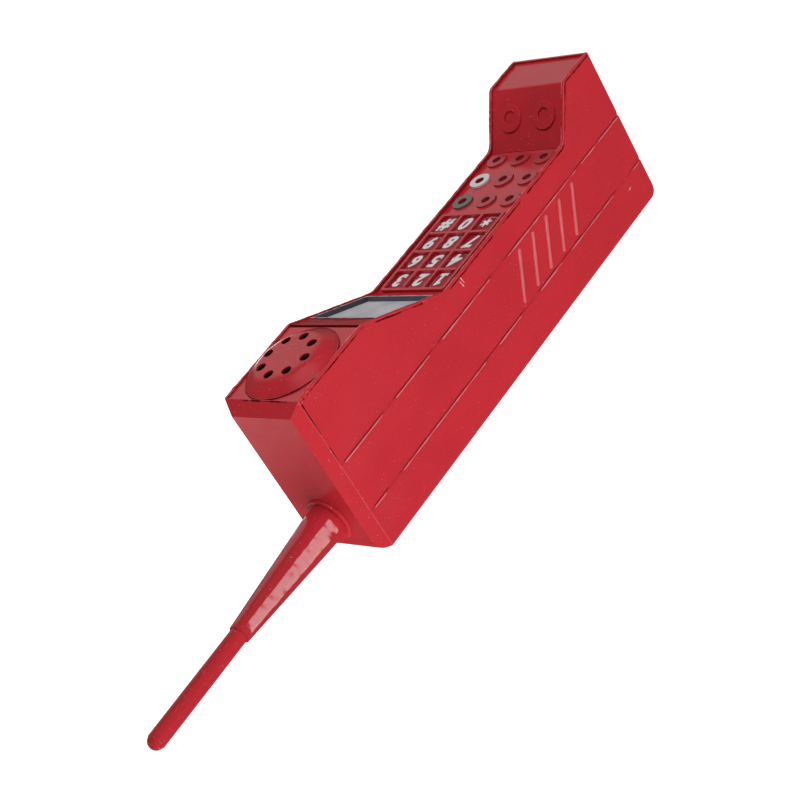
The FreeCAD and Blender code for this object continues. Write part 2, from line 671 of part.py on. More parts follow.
def display_bezel():
    """A sunken tray round the pane, with a flange behind the panel and a rear ledge."""
    start = RIM["keypad"]
    end = RIM["brow"]
    gap = FIT_CLEARANCE
    outer_x = SCREEN_HALF_X - gap
    outer_v = (SCREEN_V[0] + gap, SCREEN_V[1] - gap)
    inner_x = outer_x - BEZEL_WALL
    inner_v = (outer_v[0] + BEZEL_WALL, outer_v[1] - BEZEL_WALL)
    edge_w = DISPLAY_DEPTH - BEZEL_PROUD
    pane_w = edge_w + SCREEN_SINK
    back_w = pane_w + LENS_THICK
    under = DISPLAY_DEPTH + SHEET
    tray = slope_box(start, end, (-outer_x, outer_x), outer_v, (edge_w, back_w + BEZEL_WALL))
    flange = slope_box(start, end, (-INNER_X + gap, INNER_X - gap),
                       (SCREEN_V[0] - BEZEL_WALL, SCREEN_V[1] + BEZEL_WALL), (under, under + BEZEL_WALL))
    well = slope_box(start, end, (-inner_x, inner_x), inner_v, (edge_w - OVERCUT, back_w))
    rear = slope_box(start, end, (-inner_x + LENS_LEDGE, inner_x - LENS_LEDGE),
                     (inner_v[0] + LENS_LEDGE, inner_v[1] - LENS_LEDGE),
                     (back_w - OVERCUT, back_w + BEZEL_WALL + OVERCUT))
    return fuse([tray, flange]).cut(fuse([well, rear]))


def display_lens():
    """The pale pane at the bottom of the tray."""
    gap = FIT_CLEARANCE + BEZEL_WALL + LENS_CLEARANCE
    pane_w = DISPLAY_DEPTH - BEZEL_PROUD + SCREEN_SINK
    half = SCREEN_HALF_X - gap
    return slope_box(RIM["keypad"], RIM["brow"], (-half, half), (SCREEN_V[0] + gap, SCREEN_V[1] - gap),
                     (pane_w, pane_w + LENS_THICK))


# ---- earpiece --------------------------------------------------------------------------------
def ear_panel_low_z():
    """The lower edge of the earpiece panel, an open joint above the display's lip."""
    return at_y(RIM["keypad"], RIM["brow"], DISPLAY_DEPTH, LIP_Y)[1] + BROW_GAP


def clamp_screw_centres():
    return [(CLAMP_SCREW_R * math.cos(math.radians(a)),
             EAR_CENTRE_Z + CLAMP_SCREW_R * math.sin(math.radians(a))) for a in CLAMP_SCREW_ANGLES]


def ear_panel():
    """The flat sheet under the earpiece, folded in at its lower edge."""
    low_z = ear_panel_low_z()
    sheet = box((-INNER_X, INNER_X), (EAR_Y, EAR_BACK_Y), (low_z, SHOULDER_Z))
    fold = box((-INNER_X, INNER_X), (EAR_Y, EAR_Y + FOLD_BACK), (low_z, low_z + SHEET))
    through = (EAR_Y - OVERCUT, EAR_BACK_Y + OVERCUT)
    panel = fuse([sheet, fold]).cut(rod(SOUND_HOLE_R, through, 0, EAR_CENTRE_Z))
    for x, z in clamp_screw_centres():
        panel = panel.cut(rod(SCREW_R + THREAD_GAP, through, x, z))
    return panel


def earpiece_dome():
    """A pressed dish with a ring of sound holes, standing on the earpiece panel."""
    run = DOME_R - DOME_FLAT_R
    inner_foot_r = DOME_R - SHEET * math.hypot(run, DOME_RISE) / DOME_RISE
    inner_flat_r = inner_foot_r - run * (DOME_RISE - SHEET) / DOME_RISE
    section = rounded_outline([
        (DOME_TOP_Y, 0, 0),
        (DOME_TOP_Y, DOME_FLAT_R, DOME_BEND_R),
        (RIM_Y, DOME_R, 0),
        (RIM_Y, DOME_SEAT_R, 0),
        (EAR_Y, DOME_SEAT_R, 0),
        (EAR_Y, inner_foot_r, 0),
        (RIM_Y, inner_foot_r, 0),
        (DOME_TOP_Y + SHEET, inner_flat_r, DOME_BEND_R - SHEET),
        (DOME_TOP_Y + SHEET, 0, 0),
    ])
    dome = section.revolve(V(0, 0, 0), V(0, 1, 0), 360)
    dome.translate(V(0, 0, EAR_CENTRE_Z))
    for i in range(EAR_HOLE_COUNT):
        turn = math.radians(EAR_HOLE_TURN + 360 / EAR_HOLE_COUNT * i)
        x = EAR_HOLE_CIRCLE * math.cos(turn)
        z = EAR_CENTRE_Z + EAR_HOLE_CIRCLE * math.sin(turn)
        dome = dome.cut(rod(EAR_HOLE_R, (DOME_TOP_Y - OVERCUT, RIM_Y), x, z))
    return dome


def speaker():
    """A small loudspeaker: a flat frame, a tapering basket and a magnet."""
    seat_y = EAR_BACK_Y + SPEAKER_FRAME
    magnet_y = seat_y + SPEAKER_BASKET
    centre = V(0, 0, EAR_CENTRE_Z)
    frame = rod(SPEAKER_R, (EAR_BACK_Y, seat_y), 0, EAR_CENTRE_Z)
    basket = Part.makeCone(*SPEAKER_BASKET_R, SPEAKER_BASKET, centre + V(0, seat_y, 0), V(0, 1, 0))
    magnet = rod(SPEAKER_MAGNET[0], (magnet_y, magnet_y + SPEAKER_MAGNET[1]), 0, EAR_CENTRE_Z)
    hollow = Part.makeCone(*SPEAKER_CONE_R, SPEAKER_CONE_DEPTH, centre + V(0, EAR_BACK_Y, 0), V(0, 1, 0))
    terminals = box((-TERMINAL_HALF_X, TERMINAL_HALF_X), TERMINAL_Y,
                    (TERMINAL_Z - TERMINAL_HALF_Z, TERMINAL_Z + TERMINAL_HALF_Z))
    return fuse([frame, basket, magnet, terminals]).cut(hollow)


def speaker_clamp():
    """A flat ring that holds the speaker's frame against the earpiece panel."""
    seat_y = EAR_BACK_Y + SPEAKER_FRAME
    ring = rod(CLAMP_R[1], (seat_y, seat_y + SHEET), 0, EAR_CENTRE_Z)
    through = (seat_y - OVERCUT, seat_y + SHEET + OVERCUT)
    ring = ring.cut(rod(CLAMP_R[0], through, 0, EAR_CENTRE_Z))
    for x, z in clamp_screw_centres():
        ring = ring.cut(rod(SCREW_R + THREAD_GAP, through, x, z))
    return ring.common(box((-INNER_X + CLAMP_FLAT, INNER_X - CLAMP_FLAT), through, (0, SHOULDER_Z)))


def speaker_screws():
    seat_y = EAR_BACK_Y + SPEAKER_FRAME + SHEET
    length = seat_y - EAR_Y - SCREW_SETBACK
    return Part.makeCompound([pan_screw(x, z, seat_y, length, True) for x, z in clamp_screw_centres()])


# ---- antenna ---------------------------------------------------------------------------------
def antenna_collar():
    """The rounded bead round the foot of the cone."""
    top_z = CAP_TOP_Z + COLLAR_THICK
    bead = post(COLLAR_R, (CAP_TOP_Z, top_z), 0, ANTENNA_Y)
    rim = [e for e in bead.Edges if e.Closed and abs(e.CenterOfMass.z - top_z) < FIT_CLEARANCE]
    bead = bead.makeFillet(COLLAR_ROUND, rim)
    return bead.cut(post(GUIDE_HOLE_R, (CAP_TOP_Z - OVERCUT, top_z + OVERCUT), 0, ANTENNA_Y))


def antenna_cone():
    """The hollow tapering base, which closes to a sliding fit at its top."""
    low = CAP_TOP_Z + COLLAR_THICK
    taper = (CONE_R[0] - CONE_R[1]) / (CONE_TOP_Z - low)
    neck_z = low + (CONE_R[0] - SHEET - SLIDE_BORE_R) / taper
    profile = [(CONE_R[0] - SHEET, low), (CONE_R[0], low), (CONE_R[1], CONE_TOP_Z),
               (SLIDE_BORE_R, CONE_TOP_Z), (SLIDE_BORE_R, neck_z)]
    return turned(profile, 0, ANTENNA_Y)


def antenna_guide():
    """A sleeve through the top cap that the antenna slides in, with a shoulder below the cap."""
    top = CAP_TOP_Z + COLLAR_THICK
    nut_top = CAP_TOP_Z - SHEET
    nut_low = nut_top - GUIDE_NUT_THICK
    profile = [(SLIDE_BORE_R, GUIDE_LOW_Z), (GUIDE_R, GUIDE_LOW_Z),
               (GUIDE_R, nut_low), (GUIDE_NUT_R, nut_low), (GUIDE_NUT_R, nut_top), (GUIDE_R, nut_top),
               (GUIDE_R, top), (SLIDE_BORE_R, top)]
    return turned(profile, 0, ANTENNA_Y)


def antenna_tube():
    """The sliding tube, with a stop ring that catches under the guide."""
    low = GUIDE_LOW_Z - STOP_LENGTH - STOP_GAP
    profile = [(TUBE_BORE_R, low), (STOP_R, low), (STOP_R, low + STOP_LENGTH), (TUBE_R, low + STOP_LENGTH),
               (TUBE_R, TUBE_END_Z), (TUBE_BORE_R, TUBE_END_Z)]
    return turned(profile, 0, ANTENNA_Y)


def antenna_tip():
    """A round-headed plug pressed into the end of the tube."""
    height = ANTENNA_TIP_Z - TUBE_END_Z
    radius = (TIP_R ** 2 + height ** 2) / (2 * height)
    head = Part.makeSphere(radius, V(0, ANTENNA_Y, ANTENNA_TIP_Z - radius))
    head = head.common(post(TIP_R, (TUBE_END_Z, ANTENNA_TIP_Z + OVERCUT), 0, ANTENNA_Y))
    return fuse([head, post(TUBE_BORE_R, (TUBE_END_Z - TIP_PLUG, TUBE_END_Z), 0, ANTENNA_Y)])


# ---- battery bay -----------------------------------------------------------------------------
def battery_holder():
    """The tray for two cells behind the battery cover."""
    tray = box((-HOLDER_HALF_X, HOLDER_HALF_X), (HOLDER_Y, BACK_INNER_Y), HOLDER_Z)
    bay = box((-BAY_HALF_X, BAY_HALF_X), (HOLDER_Y + HOLDER_FLOOR, BACK_Y), BAY_Z)
    tray = tray.cut(bay)
    for z in COVER_SCREWS_Z:
        tray = tray.cut(rod(SCREW_R + THREAD_GAP, (BACK_Y - COVER_SCREW_LENGTH, BACK_Y), 0, z))
    return tray


def cell_y():
    """The depth of both cells' centre lines."""
    return HOLDER_Y + HOLDER_FLOOR + CELL_R + CELL_GAP


def batteries():
    """Two cells side by side, one each way up."""
    cells = []
    for x, up in ((-CELL_X, True), (CELL_X, False)):
        low = CELL_LOW_Z
        high = low + CELL_LENGTH
        nub = (high, high + CELL_NUB[1]) if up else (low - CELL_NUB[1], low)
        cells.append(fuse([post(CELL_R, (low, high), x, cell_y()), post(CELL_NUB[0], nub, x, cell_y())]))
    return Part.makeCompound(cells)


def contact(x, plate_z, end_z, sprung):
    """A plate on the bay's end wall with a hollow spring or a solid stud that meets the cell."""
    wall = sorted((plate_z, plate_z + math.copysign(CONTACT_THICK, end_z - plate_z)))
    reach = sorted((plate_z, end_z))
    y = cell_y()
    plate = box((x - CONTACT_HALF, x + CONTACT_HALF), (y - CONTACT_HALF, y + CONTACT_HALF), wall)
    if not sprung:
        return fuse([plate, post(CONTACT_STUD_R, reach, x, y)])
    spring = post(CONTACT_SPRING_R[1], reach, x, y)
    return fuse([plate, spring.cut(post(CONTACT_SPRING_R[0], reach, x, y))])


def battery_contacts():
    """A sprung contact at each cell's flat end and a stud at its nub."""
    cell_top_z = CELL_LOW_Z + CELL_LENGTH
    nub = CELL_NUB[1]
    return Part.makeCompound([
        contact(-CELL_X, BAY_Z[0], CELL_LOW_Z, True),
        contact(-CELL_X, BAY_Z[1], cell_top_z + nub, False),
        contact(CELL_X, BAY_Z[0], CELL_LOW_Z - nub, False),
        contact(CELL_X, BAY_Z[1], cell_top_z, True),
    ])


def battery_cover():
    """The lift-off plate over the bay, flush with the back."""
    cover = box((-COVER_HALF_X, COVER_HALF_X), (BACK_INNER_Y, BACK_Y), COVER_Z)
    for z in COVER_SCREWS_Z:
        cover = cover.cut(countersunk_screw(0, z, BACK_Y, COVER_SCREW_LENGTH, THREAD_GAP))
    return cover


def battery_cover_screws():
    return Part.makeCompound([countersunk_screw(0, z, BACK_Y, COVER_SCREW_LENGTH) for z in COVER_SCREWS_Z])


# ---- leads -----------------------------------------------------------------------------------
def lead(route):
    """A wire of round section along straight runs joined by arcs as large as the runs allow."""
    points = [V(*p) for p in route]
    edges = []
    here = points[0]
    radii = []
    for before, at, after in zip(points, points[1:], points[2:]):
        into = (at - before).normalize()
        out = (after - at).normalize()
        turn = into.getAngle(out)
        shorter = min((at - before).Length, (after - at).Length)
        trim = 0.45 * shorter
        radii.append(trim / math.tan(turn / 2))
        start = at - into * trim
        end = at + out * trim
        inward = (out - into).normalize()
        sagitta = radii[-1] * (1 / math.cos(turn / 2) - 1)
        edges.append(Part.LineSegment(here, start).toShape())
        edges.append(Part.Arc(start, at + inward * sagitta, end).toShape())
        here = end
    edges.append(Part.LineSegment(here, points[-1]).toShape())
    path = Part.Wire(edges)
    section = Part.Wire([Part.Circle(points[0], points[1] - points[0], WIRE_D / 2).toShape()])
    solid = path.makePipeShell([section], True, True)
    expected = math.pi * WIRE_D ** 2 / 4 * path.Length
    print("lead: length %.1f mm, volume %.2f of %.2f mm3, radii %s"
          % (path.Length, solid.Volume, expected, [round(r, 1) for r in radii]))
    return solid


def speaker_lead(side):
    """From the speaker's terminals down behind the display to the top of its socket."""
    x = WIRE_HALF_PITCH * side
    start_y = TERMINAL_Y[1]
    socket_y = BOARD_BACK_Y + SOCKET_DEPTH / 2
    socket_z = SPEAKER_SOCKET_Z[1]
    return lead([
        (7.0 * side, start_y, TERMINAL_Z),
        (7.0 * side, start_y + 6.5, TERMINAL_Z),
        (6.4 * side, start_y + 11.0, TERMINAL_Z - 6.5),
        (5.4 * side, start_y + 15.0, TERMINAL_Z - 17.0),
        (3.8 * side, start_y + 20.0, TERMINAL_Z - 30.0),
        (2.6 * side, start_y + 23.5, TERMINAL_Z - 42.0),
        (x, socket_y, socket_z + 7.0),
        (x, socket_y, socket_z),
    ])


def battery_lead(side):
    """From the holder's front wall across to the back of its socket."""
    x = WIRE_HALF_PITCH * side
    socket_z = sum(BATTERY_SOCKET_Z) / 2
    return lead([
        (8.0 * side, HOLDER_Y, socket_z + 11.5),
        (8.0 * side, HOLDER_Y - 5.0, socket_z + 11.5),
        (5.5 * side, HOLDER_Y - 10.0, socket_z + 8.5),
        (2.6 * side, HOLDER_Y - 13.5, socket_z + 2.5),
        (x, HOLDER_Y - 16.4, socket_z),
        (x, BOARD_BACK_Y + SOCKET_DEPTH, socket_z),
    ])


# ---- the parts -------------------------------------------------------------------------------
def all_parts():
    plate = side_plate_left()
    ribs = grip_ribs_left()
    parts = {
        "side_plate_left": plate,
        "side_plate_right": plate.mirror(V(0, 0, 0), V(1, 0, 0)),
        "grip_ribs_left": ribs,
        "grip_ribs_right": ribs.mirror(V(0, 0, 0), V(1, 0, 0)),
        "back_cover": back_cover(),
        "back_cover_brackets": back_cover_brackets(),
        "back_cover_screws": back_cover_screws(),
        "top_cap": top_cap(),
        "mouthpiece_panel": mouthpiece_panel(),
        "mouthpiece_rings": mouthpiece_rings(),
        "keypad_plate": keypad_plate(),
        "key_grid": key_grid(),
        "key_membrane": key_membrane(),
        "circuit_board": circuit_board(),
        "board_parts": board_parts(),
        "board_rails": board_rails(),
        "board_screws": board_screws(),
        "display_panel": display_panel(),
        "display_bezel": display_bezel(),
        "display_lens": display_lens(),
        "ear_panel": ear_panel(),
        "earpiece_dome": earpiece_dome(),
        "speaker": speaker(),
        "speaker_clamp": speaker_clamp(),
        "speaker_screws": speaker_screws(),
        "antenna_collar": antenna_collar(),
        "antenna_cone": antenna_cone(),
        "antenna_guide": antenna_guide(),
        "antenna_tube": antenna_tube(),
        "antenna_tip": antenna_tip(),
        "battery_holder": battery_holder(),
        "batteries": batteries(),
        "battery_contacts": battery_contacts(),
        "battery_cover": battery_cover(),
        "battery_cover_screws": battery_cover_screws(),
        "speaker_lead_red": speaker_lead(1),
        "speaker_lead_black": speaker_lead(-1),
        "battery_lead_red": battery_lead(1),
        "battery_lead_black": battery_lead(-1),
    }
    for name, centre in key_centres().items():
        parts["key_" + name] = number_key(*centre)
    for number, centre in enumerate(button_centres(), 1):
        parts["function_button_%d" % number] = function_button(*centre)
    return parts


os.makedirs("parts", exist_ok=True)
for node, shape in all_parts().items():
    shape.exportStep("parts/%s.step" % node)
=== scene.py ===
"""Looks of the toy cell phone: hand-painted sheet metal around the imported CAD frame."""

import json
import math

import bmesh
import bpy
from mathutils import Matrix, Vector, noise


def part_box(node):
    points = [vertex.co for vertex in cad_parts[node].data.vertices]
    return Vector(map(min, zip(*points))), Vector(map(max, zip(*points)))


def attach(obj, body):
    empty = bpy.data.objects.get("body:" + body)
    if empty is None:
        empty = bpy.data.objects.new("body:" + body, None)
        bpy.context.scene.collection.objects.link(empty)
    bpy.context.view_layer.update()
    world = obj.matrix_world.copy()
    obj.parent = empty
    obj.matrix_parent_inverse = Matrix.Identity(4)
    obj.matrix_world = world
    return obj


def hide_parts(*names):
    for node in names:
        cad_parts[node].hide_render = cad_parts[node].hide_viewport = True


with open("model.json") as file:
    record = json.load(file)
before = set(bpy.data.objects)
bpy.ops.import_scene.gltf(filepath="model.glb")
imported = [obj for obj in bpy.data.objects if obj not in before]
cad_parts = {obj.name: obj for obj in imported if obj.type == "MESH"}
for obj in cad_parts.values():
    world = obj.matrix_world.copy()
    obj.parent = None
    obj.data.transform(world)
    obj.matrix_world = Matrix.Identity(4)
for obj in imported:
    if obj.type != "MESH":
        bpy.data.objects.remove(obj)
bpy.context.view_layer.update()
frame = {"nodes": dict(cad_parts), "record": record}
NODES = frame["nodes"]
MM = 0.001

# ---- camera ------------------------------------------------------------------------------------
CAMERA_AT = Vector((-507.13, -343.92, 528.64)) * MM
CAMERA_AIM = Vector((-6.46, 9.50, 163.34)) * MM
CAMERA_ROLL = math.radians(141.82)
CAMERA_LENS = 84.47


def make_camera():
    """A long lens above the phone's left side, rolled so that the antenna points down."""
    camera = bpy.data.objects.new("camera", bpy.data.cameras.new("camera"))
    bpy.context.scene.collection.objects.link(camera)
    look = (CAMERA_AIM - CAMERA_AT).to_track_quat("-Z", "Y")
    turn = Matrix.Rotation(-CAMERA_ROLL, 4, "Z")
    camera.matrix_world = Matrix.Translation(CAMERA_AT) @ look.to_matrix().to_4x4() @ turn
    camera.data.lens = CAMERA_LENS
    camera.data.clip_start = 0.01
    bpy.context.scene.camera = camera


make_camera()


# ---- node helpers ------------------------------------------------------------------------------
def node(tree, kind, inputs=None, **settings):
    """A new node whose inputs are numbers, colours or other nodes' sockets."""
    made = tree.nodes.new("ShaderNode" + kind)
    for name, value in settings.items():
        setattr(made, name, value)
    for key, value in (inputs or {}).items():
        if isinstance(value, bpy.types.NodeSocket):
            tree.links.new(value, made.inputs[key])
        else:
            made.inputs[key].default_value = value
    return made


def calculate(tree, operation, a, b):
    return node(tree, "Math", {0: a, 1: b}, operation=operation).outputs[0]


def ramp(tree, value, low, high, to_low=0.0, to_high=1.0):
    """Value from low to high, eased to the range to_low to to_high."""
    inputs = {"Value": value, "From Min": low, "From Max": high, "To Min": to_low, "To Max": to_high}
    return node(tree, "MapRange", inputs, interpolation_type="SMOOTHSTEP").outputs[0]


def mix(tree, factor, a, b):
    """Colour a where factor is 0 and colour b where it is 1."""
    inputs = {0: factor, 6: a, 7: b}
    return node(tree, "Mix", inputs, data_type="RGBA").outputs[2]


def position(tree, stretch=(1, 1, 1)):
    """The place on the piece, in metres, squeezed or stretched along each axis."""
    where = node(tree, "TexCoord").outputs["Object"]
    return node(tree, "Mapping", {"Vector": where, "Scale": stretch}).outputs[0]


def speckle(tree, where, scale, detail=3.0, distort=0.0):
    inputs = {"Vector": where, "Scale": scale, "Detail": detail, "Roughness": 0.55, "Distortion": distort}
    return node(tree, "TexNoise", inputs).outputs[0]


def bump(tree, layers):
    """Several (height, depth in metres, strength) layers on top of each other."""
    normal = None
    for height, depth, strength in layers:
        inputs = {"Height": height, "Distance": depth, "Strength": strength}
        if normal is not None:
            inputs["Normal"] = normal
        normal = node(tree, "Bump", inputs).outputs[0]
    return normal


def edge_mask(tree, radius):
    """1 along sharp edges and 0 on open faces."""
    rounded = node(tree, "Bevel", {"Radius": radius}, samples=4).outputs[0]
    true = node(tree, "NewGeometry").outputs["Normal"]
    dot = node(tree, "VectorMath", {0: rounded, 1: true}, operation="DOT_PRODUCT").outputs["Value"]
    return ramp(tree, calculate(tree, "SUBTRACT", 1.0, dot), 0.03, 0.35)


def new_material(name):
    material = bpy.data.materials.new(name)
    material.use_nodes = True
    return material, material.node_tree, material.node_tree.nodes["Principled BSDF"]


def scaled(colour, share):
    """A colour with its light turned up or down."""
    return tuple(min(1.0, c * share) for c in colour[:3]) + (1.0,)


def connect(tree, shader, colour, roughness, normal):
    tree.links.new(colour, shader.inputs["Base Color"])
    tree.links.new(roughness, shader.inputs["Roughness"])
    tree.links.new(normal, shader.inputs["Normal"])


# ---- materials ---------------------------------------------------------------------------------
RED = (0.620, 0.028, 0.041)
# pale red for edges: worn paint, and painted highlight along the edges
WEAR_AND_HIGHLIGHT_RED = (0.80, 0.34, 0.36)
DUST = (0.86, 0.62, 0.62, 1.0)


def enamel(name, colour, rough=(0.14, 0.24), wavy=0.30, specular=0.5, wear_and_highlight_share=0.35,
           wear_and_highlight_colour=WEAR_AND_HIGHLIGHT_RED, ripple=0.1):
    """Thick brushed-on enamel: pooled colour, brush waves, ripples, orange peel, dust, and pale edges
    that are partly worn thin paint and partly painted highlight.
    """
    material, tree, shader = new_material(name)
    where = position(tree)
    broad = speckle(tree, where, 28.0, detail=2.0)
    fine = speckle(tree, where, 900.0, detail=2.0)
    strokes = speckle(tree, position(tree, (1.0, 1.0, 0.18)), 420.0, detail=3.0, distort=0.6)
    pooled = mix(tree, ramp(tree, broad, 0.36, 0.64), scaled(colour, 0.97), scaled(colour, 1.03))
    pooled = mix(tree, ramp(tree, strokes, 0.40, 0.80, 0.0, 0.10), pooled, scaled(colour, 0.88))
    # sharp edges turn pale: partly worn thin paint, partly a painted highlight along the edges
    edges = calculate(tree, "MULTIPLY", edge_mask(tree, 0.00035), ramp(tree, fine, 0.35, 0.6, 0.35, wear_and_highlight_share))
    painted = mix(tree, edges, pooled, wear_and_highlight_colour + (1.0,))
    dust = ramp(tree, speckle(tree, where, 2300.0, detail=0.0), 0.80, 0.86, 0.0, 0.5)
    painted = mix(tree, dust, painted, DUST)
    smear = speckle(tree, position(tree, (1.0, 1.0, 0.3)), 70.0, detail=4.0)
    roughness = ramp(tree, smear, 0.3, 0.7, rough[0], rough[1])
    normal = bump(tree, [
        (broad, 0.0006 * wavy, 0.5),
        (strokes, 0.00003 * wavy, 0.4),
        (speckle(tree, where, 150.0, detail=1.0), 0.0004 * ripple, 0.5),
        (fine, 0.00001, 0.35),
    ])
    connect(tree, shader, painted, roughness, normal)
    shader.inputs["Specular IOR Level"].default_value = specular
    return material


def moulded(name, colour, rough=(0.35, 0.55)):
    """Moulded plastic or rubber with a fine grain, handling marks and paler edges."""
    material, tree, shader = new_material(name)
    where = position(tree)
    marks = speckle(tree, where, 120.0, detail=5.0)
    fine = speckle(tree, where, 2600.0, detail=2.0)
    body = mix(tree, ramp(tree, marks, 0.35, 0.7), scaled(colour, 0.88), scaled(colour, 1.1))
    edges = calculate(tree, "MULTIPLY", edge_mask(tree, 0.00025), 0.4)
    body = mix(tree, edges, body, scaled(colour, 1.7))
    roughness = ramp(tree, marks, 0.3, 0.7, rough[0], rough[1])
    connect(tree, shader, body, roughness, bump(tree, [(fine, 0.00002, 0.5), (marks, 0.00004, 0.3)]))
    return material


def lit_edge_tray(name, colour, highlight_colour, facing):
    """Moulded plastic whose faces towards one direction are painted pale, a painted highlight."""
    material = moulded(name, colour)
    tree = material.node_tree
    shader = tree.nodes["Principled BSDF"]
    body = shader.inputs["Base Color"].links[0].from_socket
    normal = node(tree, "NewGeometry").outputs["True Normal"]
    dot = node(tree, "VectorMath", {0: normal, 1: facing}, operation="DOT_PRODUCT").outputs["Value"]
    patchy = ramp(tree, speckle(tree, position(tree), 260.0), 0.3, 0.6, 0.6, 1.0)
    # faces looking along the given direction get the pale colour: painted highlight
    painted_highlight = calculate(tree, "MULTIPLY", ramp(tree, dot, 0.80, 0.95), patchy)
    tree.links.new(mix(tree, painted_highlight, body, highlight_colour + (1.0,)), shader.inputs["Base Color"])
    return material


def bare_metal(name, colour):
    """Plated or turned metal with fine drawn lines and tarnish."""
    material, tree, shader = new_material(name)
    lines = speckle(tree, position(tree, (1.0, 1.0, 12.0)), 900.0, detail=4.0)
    tarnish = speckle(tree, position(tree), 160.0, detail=4.0)
    body = mix(tree, ramp(tree, tarnish, 0.35, 0.7), scaled(colour, 0.78), scaled(colour, 1.08))
    edges = calculate(tree, "MULTIPLY", edge_mask(tree, 0.0002), 0.6)
    body = mix(tree, edges, body, scaled(colour, 1.4))
    roughness = ramp(tree, lines, 0.3, 0.7, 0.25, 0.45)
    connect(tree, shader, body, roughness, bump(tree, [(lines, 0.00001, 0.5)]))
    shader.inputs["Metallic"].default_value = 1.0
    return material


DISPLAY_FACING = (0.0, -0.90, -0.43)     # the way the sloping display looks

MATERIALS = {
    "red_paint": enamel("red_paint", RED),
    "tube_paint": enamel("tube_paint", scaled(RED, 0.85), rough=(0.05, 0.10), ripple=0.8),
    "cone_paint": enamel("cone_paint", scaled(RED, 0.85), rough=(0.04, 0.08), wavy=0.5, specular=0.85,
                         ripple=1.6),
    # pale red for the grip ribs: a painted highlight
    "rib_highlight_paint": enamel("rib_highlight_paint", (0.70, 0.130, 0.140), rough=(0.28, 0.40)),
    # pale paints for painted highlights on the rims and crease lips, and a painted reflection on the
    # right rim's outer edge
    "highlight_paint": enamel("highlight_paint", (0.66, 0.155, 0.170), rough=(0.25, 0.40)),
    "reflection_grey": enamel("reflection_grey", (0.40, 0.28, 0.30), rough=(0.30, 0.45)),
    # dark paint for the seams and joints, and for the painted shade in the creases
    "seam_and_shade_paint": enamel("seam_and_shade_paint", (0.090, 0.003, 0.006), rough=(0.60, 0.75), specular=0.05,
                         wear_and_highlight_colour=(0.12, 0.01, 0.01)),
    # dark paint lining the button holes: painted shade
    "well_shade_paint": enamel("well_shade_paint", (0.22, 0.009, 0.014), rough=(0.40, 0.55), specular=0.15,
                         wear_and_highlight_colour=(0.26, 0.02, 0.02)),
    "scuff": enamel("scuff", (0.78, 0.46, 0.46), rough=(0.45, 0.60)),
    "decal": enamel("decal", (0.92, 0.90, 0.92), rough=(0.35, 0.50), wear_and_highlight_share=0.10,
                    wear_and_highlight_colour=(0.80, 0.70, 0.72)),
    "decal_edge": enamel("decal_edge", (0.36, 0.21, 0.23), rough=(0.40, 0.55)),
    "key_red": enamel("key_red", (0.36, 0.018, 0.027), rough=(0.3, 0.45), wavy=0.5, specular=0.2,
                      wear_and_highlight_colour=(0.45, 0.10, 0.12)),
    "button_red": enamel("button_red", (0.50, 0.036, 0.048), wavy=0.6),
    "button_white": enamel("button_white", (0.80, 0.76, 0.76), wavy=0.6, wear_and_highlight_colour=(0.62, 0.30, 0.30)),
    "button_grey": enamel("button_grey", (0.150, 0.150, 0.110), wavy=0.6, wear_and_highlight_colour=(0.30, 0.20, 0.17)),
    # the bezel's faces that look out of the display carry a painted highlight
    "bezel_grey": lit_edge_tray("bezel_grey", (0.085, 0.090, 0.105), (0.40, 0.36, 0.38), DISPLAY_FACING),
    "bezel_line": moulded("bezel_line", (0.60, 0.53, 0.55)),
    "pane_grey": moulded("pane_grey", (0.680, 0.665, 0.710), rough=(0.40, 0.55)),
    "silicone": moulded("silicone", (0.45, 0.46, 0.48), rough=(0.5, 0.65)),
    "board_green": moulded("board_green", (0.03, 0.16, 0.07), rough=(0.3, 0.45)),
    "black_plastic": moulded("black_plastic", (0.020, 0.020, 0.023)),
    "steel": bare_metal("steel", (0.60, 0.60, 0.61)),
    "brass": bare_metal("brass", (0.72, 0.55, 0.25)),
    "cell_case": moulded("cell_case", (0.12, 0.13, 0.15), rough=(0.25, 0.4)),
    "wire_red": moulded("wire_red", (0.45, 0.03, 0.03), rough=(0.4, 0.5)),
    "wire_black": moulded("wire_black", (0.015, 0.015, 0.015), rough=(0.4, 0.5)),
}
SLOT_OF = {part["node"]: part["material_slot"] for part in frame["record"]["subparts"]}


# ---- CAD nodes that stay -----------------------------------------------------------------------
# Paint other than the slot's own, and the edge rounding in millimetres.
FINISH = {"antenna_tube": "tube_paint", "antenna_tip": "tube_paint", "antenna_cone": "cone_paint"}
ROUNDING = {"side_plate_left": 0.20, "side_plate_right": 0.20, "top_cap": 0.80, "mouthpiece_rings": 0.30,
            "key_grid": 0.25, "mouthpiece_panel": 0.20}
ROUNDING_ELSEWHERE = 0.12
WELD_DISTANCE = 0.002 * MM
SHARP_ANGLE = math.radians(30)


def finish_cad_node(name, rounding):
    """A CAD node with its material and with its sharp edges rounded as paint rounds them."""
    piece = NODES[name]
    piece.data.materials.clear()
    piece.data.materials.append(MATERIALS[FINISH.get(name, SLOT_OF[name])])
    weld = piece.modifiers.new("weld", "WELD")
    weld.merge_threshold = WELD_DISTANCE
    bevel = piece.modifiers.new("rounding", "BEVEL")
    bevel.width = rounding
    bevel.segments = 3
    bevel.limit_method = "ANGLE"
    bevel.angle_limit = SHARP_ANGLE
    bevel.harden_normals = True
    bevel.use_clamp_overlap = True


for each in NODES:
    finish_cad_node(each, ROUNDING.get(each, ROUNDING_ELSEWHERE) * MM)


